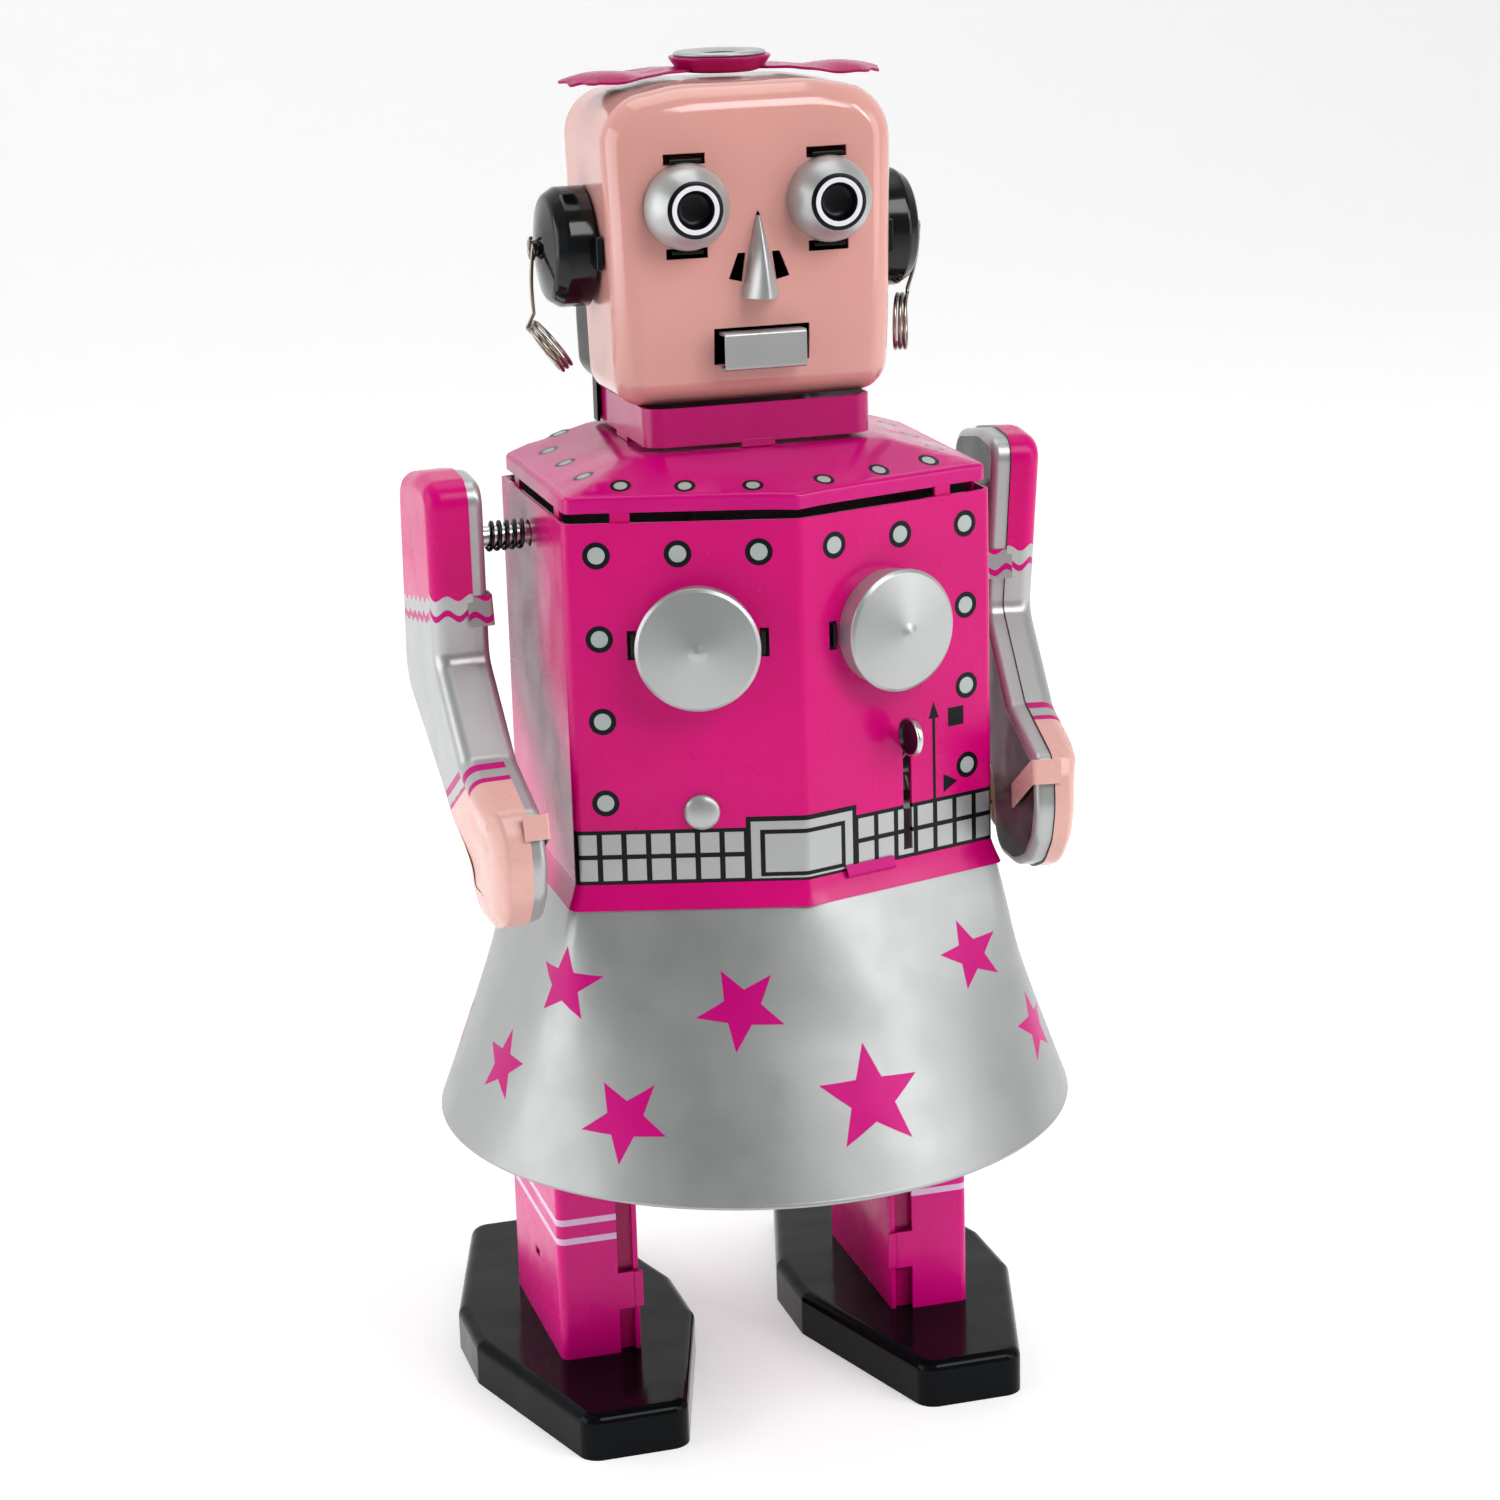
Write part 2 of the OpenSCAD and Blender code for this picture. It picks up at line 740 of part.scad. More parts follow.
// Notched disc on the fast arbor, which the stop lever slows
module governor_fly() {
    color("goldenrod") difference() {
        rod_x(fly_x, governor_y, governor_z, 4.4, 1.2);
        rod_x(fly_x - 1, governor_y, governor_z, governor_r, 4);
        for (a = [0:90:270]) {
            translate([fly_x - 1, governor_y, governor_z]) rotate([a, 0, 0])
                block([0, -0.7, 3.2], [4, 0.7, 6]);
        }
    }
}

// ---------------------------------------------------------------- stop lever

knob_y = -32;
knob_z = 108.5;

module stop_lever() {
    arm_y = knob_y - lever_y;
    arm_z = knob_z - lever_z;
    arm_len = sqrt(arm_y * arm_y + arm_z * arm_z);
    arm_angle = atan2(arm_z, -arm_y);
    color("dimgray") difference() {
        union() {
            rod_x(lever_x - 0.4, lever_y, lever_z, 2.2, 0.8);
            translate([lever_x - 0.4, lever_y, lever_z]) rotate([-arm_angle, 0, 0])
                block([0, -arm_len, -0.8], [0.8, 0, 0.8]);
            // brake finger that reaches down beside the fly
            block([lever_x - 0.4, lever_y - 0.8, 81.2], [lever_x + 0.4, lever_y + 0.8, lever_z]);
        }
        rod_x(lever_x - 1, lever_y, lever_z, 1 + running, 2);
    }
}

// Dished round finger piece on the side of the lever
module lever_knob() {
    color("black") translate([lever_x, knob_y, knob_z]) rotate([0, 0, 14]) rotate([0, -90, 0])
        rotate_extrude() polygon([[0, 0.45], [2.5, 0.45], [2.9, 0.8], [2.9, 1.3], [2.6, 1.4], [0, 1]]);
}

// ---------------------------------------------------------------- arms

// Side outline of an arm: x is forwards, y is up, measured from the shoulder
function arm_points() = concat(
    arc(3.2, 5.9, 3.6, 0, 75, 6),
    arc(-11.2, 2.9, 5.2, 105, 180, 6),
    [[-20.6, -14], [-22.4, -21.5], [-20.6, -27], [2, -38], [8.2, -42.5]],
    arc(16, -47, 6, 195, 270, 6),
    [[22, -52.2], [28, -49.6], [32, -45.4], [33.2, -40.4], [32.6, -36], [31, -33.2]],
    [[28.5, -31.2], [22.5, -30.2], [16.5, -28.4], [3.5, -16.9]]);

// Puts children in the arm's frame: x outwards from its inner face, leaning in at the hand
module in_arm() {
    translate([arm_inner_x, shoulder_y, shoulder_z]) rotate([0, arm_lean, 0]) children();
}

// The outline thickened along x
module arm_slab(inset, from, thick) {
    in_arm() translate([from, 0, 0]) rotate([90, 0, 90]) linear_extrude(thick)
        mirror([1, 0]) offset(delta = -inset) polygon(arm_points());
}

tray_depth = 2.2;
tray_inset = 0.35;

module arm_inner(side) {
    color("silver") mirror_x(side < 0) difference() {
        arm_slab(tray_inset, 0, tray_depth);
        arm_slab(tray_inset + tin, tin, tray_depth);
        rod_x(30, shoulder_y, shoulder_z, 1.5, 20);
    }
}

module arm_outer(side) {
    shell_x = tray_depth + gap;
    color("thistle") mirror_x(side < 0) {
        difference() {
            arm_slab(0, shell_x, arm_thick - shell_x);
            arm_slab(tin, shell_x - 1, arm_thick - shell_x - tin + 1);
        }
        // sleeve tab folded over the front edge of the inner pressing
        in_arm() translate([0, -4.53, -9.75]) rotate([8.2, 0, 0]) {
            block([-0.65, -0.35, -3.25], [shell_x + 0.4, 0.3, 3.25]);
            block([-0.65, -0.35, -3.25], [-0.05, 3, 3.25]);
        }
        // thumb folded round on to the inner face
        in_arm() translate([0, -33, -38.2]) rotate([-8, 0, 0]) {
            block([-0.65, -0.6, -2.3], [shell_x + 0.4, 0.25, 2.3]);
            rotate([-15, 0, 0]) block([-0.65, -0.6, -2.2], [-0.05, 12.5, 2.2]);
        }
    }
}

module shoulder_pin(side) {
    color("darkgray") mirror_x(side < 0) {
        rod_x(29.9, shoulder_y, shoulder_z, 1.5, 10.8);
        rod_x(29.9, shoulder_y, shoulder_z, 3.2, 0.8);
        rod_x(arm_inner_x + tin + 0.15, shoulder_y, shoulder_z, 2.6, 1.2);
    }
}

// Coil spring between the torso and the arm
module shoulder_spring(side) {
    x0 = torso_half_w + 0.35;
    coils = 6;
    pitch = (arm_inner_x - 0.3 - x0 - 0.7) / (coils - 1);
    color("black") mirror_x(side < 0) for (i = [0:coils - 1]) {
        translate([x0 + 0.35 + i * pitch, shoulder_y, shoulder_z]) rotate([0, 90, 0])
            rotate_extrude() translate([1.9, 0]) circle(r = 0.35, $fn = 16);
    }
}

// ---------------------------------------------------------------- legs and feet

module leg_shell(side) {
    inner = hanger_x + hanger_t;
    color("mediumvioletred") mirror_x(side < 0) difference() {
        union() {
            difference() {
                block([inner, leg_front_y, foot_h], [leg_outer_x, leg_back_y, leg_top_z]);
                block([inner - 1, leg_front_y + tin, foot_h - 1],
                    [leg_outer_x - tin, leg_back_y - tin, leg_top_z + 1]);
            }
            // tab that wraps round the front edge of the hanger
            block([inner - 1.4, leg_front_y, 14.4], [inner + 1, leg_front_y + tin, 20.4]);
        }
        // notches in the inner front edge
        block([inner - 2, leg_front_y - 1, 20.4], [inner + 2.6, leg_front_y + 1, leg_top_z + 1]);
        block([inner - 2, leg_front_y - 1, foot_h - 1], [inner + 2.6, leg_front_y + 1, 14.4]);
        // slot in the side
        block([leg_outer_x - 1, 7, 18.6], [leg_outer_x + 1, 10, 20]);
    }
}

// Inner leg plate that rises into the clockwork; its slots ride on the guide pins
module leg_hanger(side) {
    top_z = 77;
    slot_half = stride + guide_r + 0.15;
    color("firebrick") mirror_x(side < 0) difference() {
        union() {
            block([hanger_x, leg_front_y + tin + gap, foot_h], [hanger_x + hanger_t, leg_back_y, leg_top_z]);
            block([hanger_x, -14.5, 54], [hanger_x + hanger_t, 18.5, 66]);
            block([hanger_x, -5, 65], [hanger_x + hanger_t, 9, top_z]);
            block([hanger_x, leg_front_y + 2, leg_top_z - 1], [hanger_x + hanger_t, 18.5, 55]);
        }
        for (y = guide_ys) {
            block([hanger_x - 1, y - slot_half + guide_r, guide_z - guide_r - 0.06],
                [hanger_x + 2, y + slot_half - guide_r, guide_z + guide_r + 0.06]);
            for (s = [-1, 1]) {
                rod_x(hanger_x - 1, y + s * (slot_half - guide_r), guide_z, guide_r + 0.06, 3);
            }
        }
        // upright slot for the crank pin
        block([hanger_x - 1, crank_y - crank_pin_r - 0.1, crank_z - 4.8],
            [hanger_x + 2, crank_y + crank_pin_r + 0.1, crank_z + 4.8]);
    }
}

// Foot outline, moved inwards by inset
function foot_points(inset) = let (
        half_l = foot_len / 2 - inset,
        half_w = foot_w / 2 - inset,
        toe = 7.8 - inset * 0.75,
        mid = 7 - inset * 0.15)
    [[-toe, -half_l], [toe, -half_l], [half_w, -mid], [half_w, mid],
        [toe + 0.9, half_l], [-toe - 0.9, half_l], [-half_w, mid], [-half_w, -mid]];

module foot_slab(inset, z0, z1) {
    translate([foot_x, foot_y, z0]) linear_extrude(z1 - z0) polygon(foot_points(inset));
}

module foot_shell(side) {
    color("black") mirror_x(side < 0) difference() {
        foot_slab(0, 0, foot_h);
        foot_slab(tin, -1, foot_h - tin);
        // notch under the toe
        block([foot_x - 1.6, foot_y - foot_len / 2 - 1, -1], [foot_x + 1.6, foot_y - foot_len / 2 + 1, 0.6]);
    }
}

module sole_plate(side) {
    ear = 1.6;
    color("gray") mirror_x(side < 0) difference() {
        union() {
            foot_slab(tin + gap, 0, 0.8);
            // bent-up ears that hold the roller axles
            for (s = [-1, 1], e = [-1, 1]) {
                block([foot_x + e * 2.2 - 0.4, foot_y + s * roller_offset - ear, 0.4],
                    [foot_x + e * 2.2 + 0.4, foot_y + s * roller_offset + ear, roller_z + ear]);
            }
        }
        for (s = [-1, 1]) {
            rod_x(foot_x - 3, foot_y + s * roller_offset, roller_z, axle_r + running, 6);
            for (e = [-1, 1]) {
                block([foot_x + e * 4.6 - 1.6, foot_y + s * roller_offset - 2.6, -1],
                    [foot_x + e * 4.6 + 1.6, foot_y + s * roller_offset + 2.6, 2]);
            }
        }
    }
}

// Two small wheels on one axle, just clear of the floor
module roller(side, end) {
    color("darkgray") mirror_x(side < 0) {
        rod_x(foot_x - 5.8, foot_y + end * roller_offset, roller_z, axle_r, 11.6);
        for (e = [-1, 1]) {
            rod_x(foot_x + e * 4.6 - 1.1, foot_y + end * roller_offset, roller_z, roller_r, 2.2);
        }
    }
}

// ---------------------------------------------------------------- output

torso_front_shell();
torso_back_cover();
torso_lid();
waist_band();
skirt();
neck_collar();
head_front_shell();
head_back_shell();
hair_back();
eye(-1);  // right_eye
eye(1);  // left_eye
nose();
mouth();
ear(-1);  // right_ear
ear(1);  // left_ear
earring(-1);  // right_earring
earring(1);  // left_earring
hair_bow();
bow_button();
dial(-1);  // right_dial
dial(1);  // left_dial
belt_rivet();
motor_plate(-1);  // right_motor_plate
motor_plate(1);  // left_motor_plate
motor_bracket();
motor_pillars();
leg_guide_pins();
lever_pin();
mainspring();
winding_shaft();
winding_key();
great_wheel();
crank_shaft();
crank_wheel();
crank(-1);  // right_crank
crank(1);  // left_crank
governor_shaft();
governor_fly();
stop_lever();
lever_knob();
arm_outer(-1);  // right_arm_outer
arm_inner(-1);  // right_arm_inner
shoulder_pin(-1);  // right_shoulder_pin
shoulder_spring(-1);  // right_shoulder_spring
arm_outer(1);  // left_arm_outer
arm_inner(1);  // left_arm_inner
shoulder_pin(1);  // left_shoulder_pin
shoulder_spring(1);  // left_shoulder_spring
leg_shell(-1);  // right_leg_shell
leg_hanger(-1);  // right_leg_hanger
foot_shell(-1);  // right_foot_shell
sole_plate(-1);  // right_sole_plate
roller(-1, -1);  // right_front_roller
roller(-1, 1);  // right_rear_roller
leg_shell(1);  // left_leg_shell
leg_hanger(1);  // left_leg_hanger
foot_shell(1);  // left_foot_shell
sole_plate(1);  // left_sole_plate
roller(1, -1);  // left_front_roller
roller(1, 1);  // left_rear_roller
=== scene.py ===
# Looks of the tin wind-up robot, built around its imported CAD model.
# It faces -Y, +Z is up and +X is towards its own left. side is -1 for its right and 1 for its left.
# Sizes are in millimetres until a mesh is made, which is in metres.
import itertools
import json
import math
import bpy
import bmesh
import numpy as np
from mathutils import Matrix, Vector
from mathutils.geometry import delaunay_2d_cdt

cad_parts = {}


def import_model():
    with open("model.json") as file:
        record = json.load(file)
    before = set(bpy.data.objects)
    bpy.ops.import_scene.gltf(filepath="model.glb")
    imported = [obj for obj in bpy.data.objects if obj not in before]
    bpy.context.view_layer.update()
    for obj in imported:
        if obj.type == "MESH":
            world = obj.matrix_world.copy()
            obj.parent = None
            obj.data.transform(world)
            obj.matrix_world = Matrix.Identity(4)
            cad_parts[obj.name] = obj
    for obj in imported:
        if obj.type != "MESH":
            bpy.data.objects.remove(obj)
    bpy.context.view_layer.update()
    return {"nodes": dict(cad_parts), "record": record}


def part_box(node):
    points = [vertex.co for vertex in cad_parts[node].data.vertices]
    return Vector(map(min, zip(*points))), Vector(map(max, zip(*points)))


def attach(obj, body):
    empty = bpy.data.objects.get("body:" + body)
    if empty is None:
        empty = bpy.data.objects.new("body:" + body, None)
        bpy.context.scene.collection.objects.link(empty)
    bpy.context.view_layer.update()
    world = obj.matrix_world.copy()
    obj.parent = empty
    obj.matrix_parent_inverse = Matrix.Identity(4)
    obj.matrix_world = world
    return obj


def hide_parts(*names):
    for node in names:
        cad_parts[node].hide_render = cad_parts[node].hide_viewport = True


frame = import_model()

MM = 0.001
TIN = 0.6
SHARP = math.radians(35)


def box_mm(node):
    low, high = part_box(node)
    return low / MM, high / MM


# ---------------------------------------------------------------- driving sizes

front_low, front_high = box_mm("torso_front_shell")
back_high = box_mm("torso_back_cover")[1]
HALF_W = front_high.x
WAIST_Z = front_low.z
TOP_Z = front_high.z
MID_Y = (front_low.y + back_high.y) / 2
RIDGE = (back_high.y - front_low.y) / 2
SLOPE = 0.298
STRETCH = math.hypot(1, SLOPE)
CORNER = RIDGE - SLOPE * HALF_W

skirt_low, skirt_high = box_mm("skirt")
HEM_R = skirt_high.x
HEM_BEAD = 0.6
HEM_Z = skirt_low.z + HEM_BEAD
HEM_Y = (skirt_low.y + skirt_high.y) / 2
SKIRT_TOP = skirt_high.z

face_low, face_high = box_mm("head_front_shell")
HEAD_W = face_high.x
CHIN_Z = face_low.z
CROWN_Z = face_high.z
FACE_Y = face_low.y
SEAM_Y = face_high.y
HEAD_BACK = box_mm("hair_back")[1].y

LID_TOP = box_mm("torso_lid")[1].z
LID_EDGE = LID_TOP - 3.8
LID_LOW = LID_EDGE - 2.2

SHOULDER = (38.75, -2.0, 136.4)
ARM_LEAN = math.radians(1.5)
ARM_THICK = 8.3
LEFT_TOE_IN = math.radians(5.0)
ROD_SHIFT = 0.5
TRAY = 2.2

EYE_X = 10.4
EYE_Z = 183.8
EAR_Z = 177.2
DIAL_X = 14.0
DIAL_Z = 124.2


# ---------------------------------------------------------------- materials

def new_material(name):
    material = bpy.data.materials.new(name)
    material.use_nodes = True
    nodes = material.node_tree.nodes
    return material, nodes, material.node_tree.links, nodes["Principled BSDF"]


def noise(nodes, links, scale, detail=2.0, stretch=None):
    """A noise in the row frame; scale is in features per metre."""
    coords = nodes.new("ShaderNodeTexCoord")
    texture = nodes.new("ShaderNodeTexNoise")
    texture.inputs["Scale"].default_value = scale
    texture.inputs["Detail"].default_value = detail
    if stretch:
        mapping = nodes.new("ShaderNodeMapping")
        mapping.inputs["Scale"].default_value = stretch
        links.new(coords.outputs["Object"], mapping.inputs["Vector"])
        links.new(mapping.outputs["Vector"], texture.inputs["Vector"])
    else:
        links.new(coords.outputs["Object"], texture.inputs["Vector"])
    return texture.outputs["Fac"]


def ramp(nodes, links, source, low, high, out_low, out_high):
    node = nodes.new("ShaderNodeMapRange")
    node.inputs["From Min"].default_value = low
    node.inputs["From Max"].default_value = high
    node.inputs["To Min"].default_value = out_low
    node.inputs["To Max"].default_value = out_high
    links.new(source, node.inputs["Value"])
    return node.outputs["Result"]


def finish(name, color, rough=0.3, metal=0.0, coat=0.0, vary=0.06, rough_vary=0.06,
           dent=0.0, grain=0.0, brush=None, wear=0.0, gleam=0.5):
    """A painted, printed or bare metal surface with uneven colour, gloss and small dents."""
    material, nodes, links, shader = new_material(name)
    shader.inputs["Metallic"].default_value = metal
    shader.inputs["Specular IOR Level"].default_value = gleam
    shader.inputs["Coat Weight"].default_value = coat
    shader.inputs["Coat Roughness"].default_value = 0.06
    cloud = noise(nodes, links, 55.0, 3.0)
    mix = nodes.new("ShaderNodeMix")
    mix.data_type = "RGBA"
    dark = [c * (1 - vary) for c in color]
    light = [min(1.0, c * (1 + vary)) for c in color]
    mix.inputs["A"].default_value = (*dark, 1)
    mix.inputs["B"].default_value = (*light, 1)
    links.new(ramp(nodes, links, cloud, 0.3, 0.7, 0.0, 1.0), mix.inputs["Factor"])
    base = mix.outputs["Result"]
    if wear > 0:
        specks = noise(nodes, links, 900.0, 1.0)
        worn = nodes.new("ShaderNodeMix")
        worn.data_type = "RGBA"
        worn.inputs["B"].default_value = (*[c * 0.45 for c in color], 1)
        links.new(ramp(nodes, links, specks, 0.74, 0.78, 0.0, wear), worn.inputs["Factor"])
        links.new(base, worn.inputs["A"])
        base = worn.outputs["Result"]
    links.new(base, shader.inputs["Base Color"])
    smudge = noise(nodes, links, 140.0, 4.0, brush)
    gloss = ramp(nodes, links, smudge, 0.3, 0.7, max(0.02, rough - rough_vary), rough + rough_vary)
    links.new(gloss, shader.inputs["Roughness"])
    normal = None
    for scale, depth, stretch in ((45.0, dent, None), (1500.0, grain, brush)):
        if depth <= 0:
            continue
        bump = nodes.new("ShaderNodeBump")
        bump.inputs["Strength"].default_value = 1.0
        bump.inputs["Distance"].default_value = depth * MM
        links.new(noise(nodes, links, scale, 2.0, stretch), bump.inputs["Height"])
        if normal:
            links.new(normal, bump.inputs["Normal"])
        normal = bump.outputs["Normal"]
    if normal:
        links.new(normal, shader.inputs["Normal"])
    return material


MAGENTA = (0.64, 0.0008, 0.175)
INK = {
    "magenta": finish("magenta_ink", MAGENTA, 0.24, coat=0.03, dent=0.5, grain=0.006, wear=0.35, gleam=0.24),
    "magenta_lid": finish("magenta_lid_ink", (0.6, 0.0008, 0.19), 0.2, coat=0.06, dent=0.6, grain=0.006,
                          wear=0.3, gleam=0.28),
    "magenta_leg": finish("magenta_leg_ink", (0.72, 0.001, 0.22), 0.26, coat=0.06, dent=0.5, grain=0.006,
                          wear=0.45, gleam=0.22),
    "collar": finish("magenta_collar_ink", (0.5, 0.001, 0.155), 0.16, coat=0.12, dent=0.4, grain=0.004,
                     gleam=0.28),
    "silver": finish("silver_lacquer", (0.46, 0.47, 0.47), 0.36, 0.6, 0.1, 0.03, 0.05, dent=0.35,
                     grain=0.012),
    "skirt": finish("skirt_lacquer", (0.385, 0.395, 0.395), 0.42, 0.65, 0.05, 0.03, 0.05, dent=0.4,
                    grain=0.012),
    "star": finish("star_ink", (0.54, 0.001, 0.185), 0.36, 0.1, 0.0, dent=0.7, grain=0.01, gleam=0.18),
    "black": finish("black_ink", (0.004, 0.004, 0.006), 0.3, 0.0, 0.0, 0.2, 0.05, dent=0.4, gleam=0.2),
    "gloss_black": finish("black_enamel", (0.004, 0.005, 0.006), 0.13, 0.0, 0.0, 0.2, 0.04, dent=0.5,
                          grain=0.006, gleam=0.35),
    "shoe": finish("shoe_enamel", (0.003, 0.004, 0.005), 0.12, 0.0, 0.0, 0.2, 0.04, dent=0.5,
                   grain=0.006, gleam=0.08),
    "hair": finish("hair_enamel", (0.003, 0.003, 0.004), 0.2, dent=0.3, grain=0.006, gleam=0.06),
    "sleeve": finish("sleeve_ink", MAGENTA, 0.24, dent=0.5, grain=0.006, wear=0.3, gleam=0.16),
    "bow": finish("bow_ink", (0.42, 0.001, 0.11), 0.22, dent=0.3, grain=0.006, wear=0.3, gleam=0.25),
    "white": finish("white_ink", (0.82, 0.80, 0.84), 0.3, 0.0, 0.0, 0.03, 0.05, dent=0.4, gleam=0.3),
    "grey_dot": finish("dot_ink", (0.44, 0.49, 0.48), 0.34, 0.2, 0.0, 0.04, 0.05, dent=0.4, gleam=0.3),
    "stripe": finish("stripe_ink", (0.8, 0.55, 0.78), 0.3, 0.0, 0.0, 0.04, 0.05, dent=0.4, gleam=0.3),
    "skin": finish("skin_enamel", (0.72, 0.345, 0.305), 0.14, 0.0, 0.45, 0.03, 0.04, dent=0.6, grain=0.004,
                   gleam=0.45),
    "hand": finish("hand_enamel", (0.76, 0.42, 0.37), 0.28, 0.0, 0.1, 0.05, 0.05, dent=0.9, grain=0.006,
                   gleam=0.45),
    # near black as a painted reflection: the tray's floor is bare tin that mirrors dark surroundings
    "tray": finish("tray_tin", (0.016, 0.009, 0.014), 0.22, dent=0.6, grain=0.008, gleam=0.12),
    "bare": finish("bare_tin", (0.30, 0.29, 0.28), 0.34, 0.9, 0.0, 0.08, 0.08, dent=0.3, grain=0.02),
    "steel": finish("bright_steel", (0.60, 0.59, 0.57), 0.22, 1.0, 0.0, 0.05, 0.07, grain=0.01,
                    brush=(1, 9, 9)),
    "plate": finish("plate_steel", (0.38, 0.37, 0.35), 0.36, 1.0, 0.0, 0.1, 0.1, dent=0.2, grain=0.02,
                    brush=(1, 1, 8)),
    "wire": finish("spring_steel", (0.05, 0.05, 0.055), 0.28, 0.9, 0.0, 0.15, 0.08, grain=0.01),
    "ring_wire": finish("earring_steel", (0.36, 0.31, 0.27), 0.22, 1.0, 0.0, 0.12, 0.08, grain=0.01),
    "brass": finish("gear_brass", (0.66, 0.45, 0.17), 0.28, 1.0, 0.0, 0.08, 0.08, grain=0.012,
                    brush=(8, 1, 1)),
    "bronze": finish("key_bronze", (0.3, 0.18, 0.1), 0.34, 1.0, 0.1, 0.12, 0.1, dent=0.3, grain=0.02),
}
NODE_INK = {
    "magenta_tin": "collar", "torso_print": "magenta", "lid_print": "magenta_lid",
    "skirt_print": "skirt", "skin_tin": "skin", "black_tin": "gloss_black", "silver_tin": "silver",
    "eye_print": "silver", "arm_print": "silver", "leg_print": "magenta_leg", "bright_steel": "steel",
    "plate_steel": "plate", "spring_steel": "wire", "gear_brass": "brass", "key_bronze": "bronze",
}
NODE_SLOT = {row["node"]: row["material_slot"] for row in frame["record"]["subparts"]}


# ---------------------------------------------------------------- mesh tools

class Shape:
    """Collects the surfaces of one piece, in millimetres, and makes one mesh with exact normals."""

    def __init__(self):
        self.points = []
        self.normals = []
        self.faces = []
        self.inks = []
        self.count = 0

    def add(self, points, normals, faces, inks):
        self.points.append(points)
        self.normals.append(normals)
        self.faces.extend([tuple(int(i) + self.count for i in face) for face in faces])
        self.inks.extend(inks)
        self.count += len(points)

    def make(self, name, body, replaced=()):
        points = np.concatenate(self.points) * MM
        normals = np.concatenate(self.normals)
        mesh = bpy.data.meshes.new(name)
        mesh.from_pydata(points.tolist(), [], self.faces)
        used = sorted(set(self.inks))
        for ink in used:
            mesh.materials.append(INK[ink])
        index = {ink: i for i, ink in enumerate(used)}
        mesh.polygons.foreach_set("material_index", [index[ink] for ink in self.inks])
        mesh.polygons.foreach_set("use_smooth", [True] * len(mesh.polygons))
        mesh.update()
        mesh.normals_split_custom_set_from_vertices(normals.tolist())
        return place(bpy.data.objects.new(name, mesh), body, replaced)


def place(piece, body, replaced=()):
    """Links a finished piece, puts it on its body and hides the CAD nodes it stands for."""
    if piece.name not in bpy.context.scene.collection.objects:
        bpy.context.scene.collection.objects.link(piece)
    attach(piece, body)
    for node in replaced:
        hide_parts(node)
    return piece


def unit(vectors):
    return vectors / np.maximum(np.linalg.norm(vectors, axis=-1, keepdims=True), 1e-12)


def measure(surface, u, v, inside):
    """Points and outward normals of a surface; the normals point away from the point inside."""
    step = 1e-3
    points = surface(u, v)
    across = surface(u + step, v) - surface(u - step, v)
    along = surface(u, v + step) - surface(u, v - step)
    normals = unit(np.cross(across, along))
    away = np.sum(normals * (points - np.array(inside)), axis=1)
    if away.sum() < 0:
        normals = -normals
    return points, normals


def turned(points, normals, faces):
    """Faces wound so that they look along the normals."""
    result = []
    for face in faces:
        a, b, c = points[face[0]], points[face[1]], points[face[2]]
        side = np.dot(np.cross(b - a, c - a), normals[list(face)].sum(axis=0))
        result.append(tuple(face) if side >= 0 else tuple(reversed(face)))
    return result


def sheet(shape, surface, u, v, faces, inks, inside, thick=TIN, back="bare"):
    """Adds a surface, and with a thickness its back and its cut edges."""
    points, normals = measure(surface, u, v, inside)
    faces = turned(points, normals, faces)
    shape.add(points, normals, faces, inks)
    if thick <= 0:
        return
    under = points - thick * normals
    shape.add(under, -normals, [tuple(reversed(face)) for face in faces], [back] * len(faces))
    edges = {}
    for face, ink in zip(faces, inks):
        for a, b in zip(face, face[1:] + face[:1]):
            if (b, a) in edges:
                del edges[(b, a)]
            else:
                edges[(a, b)] = ink
    outward = np.zeros_like(points)
    for a, b in edges:
        out = np.cross(points[b] - points[a], normals[a] + normals[b])
        outward[a] += out
        outward[b] += out
    outward = unit(outward)
    upper = unit(outward + 0.8 * normals)
    lower = unit(outward - 0.8 * normals)
    used = sorted({i for edge in edges for i in edge})
    where = {i: k for k, i in enumerate(used)}
    count = len(used)
    rim = [(where[b], where[a], where[a] + count, where[b] + count) for a, b in edges]
    shape.add(np.concatenate([points[used], under[used]]), np.concatenate([upper[used], lower[used]]),
              rim, list(edges.values()))


def grid_faces(rows, columns, closed=False):
    """Quads of a grid whose points run along each row first."""
    faces = []
    for r in range(rows - 1):
        for c in range(columns if closed else columns - 1):
            d = (c + 1) % columns
            faces.append((r * columns + c, r * columns + d, (r + 1) * columns + d, (r + 1) * columns + c))
    return faces


def grid(shape, surface, us, vs, ink, inside, closed=False, thick=0.0, back="bare"):
    """Adds a surface over a grid of parameters. ink is a name, or gives one for a row."""
    u, v = np.meshgrid(np.array(us, float), np.array(vs, float))
    faces = grid_faces(len(vs), len(us), closed)
    per_row = len(us) if closed else len(us) - 1
    inks = [ink if isinstance(ink, str) else ink((vs[r] + vs[r + 1]) / 2)
            for r in range(len(vs) - 1) for _ in range(per_row)]
    sheet(shape, surface, u.ravel(), v.ravel(), faces, inks, inside, thick, back)


def within(outline, points):
    """Which points lie inside a closed outline."""
    x, y = points[:, 0], points[:, 1]
    result = np.zeros(len(points), bool)
    start = np.array(outline, float)
    end = np.roll(start, -1, axis=0)
    for (x0, y0), (x1, y1) in zip(start, end):
        if y0 == y1:
            continue
        crosses = (y0 > y) != (y1 > y)
        result ^= crosses & (x < (x1 - x0) * (y - y0) / (y1 - y0) + x0)
    return result


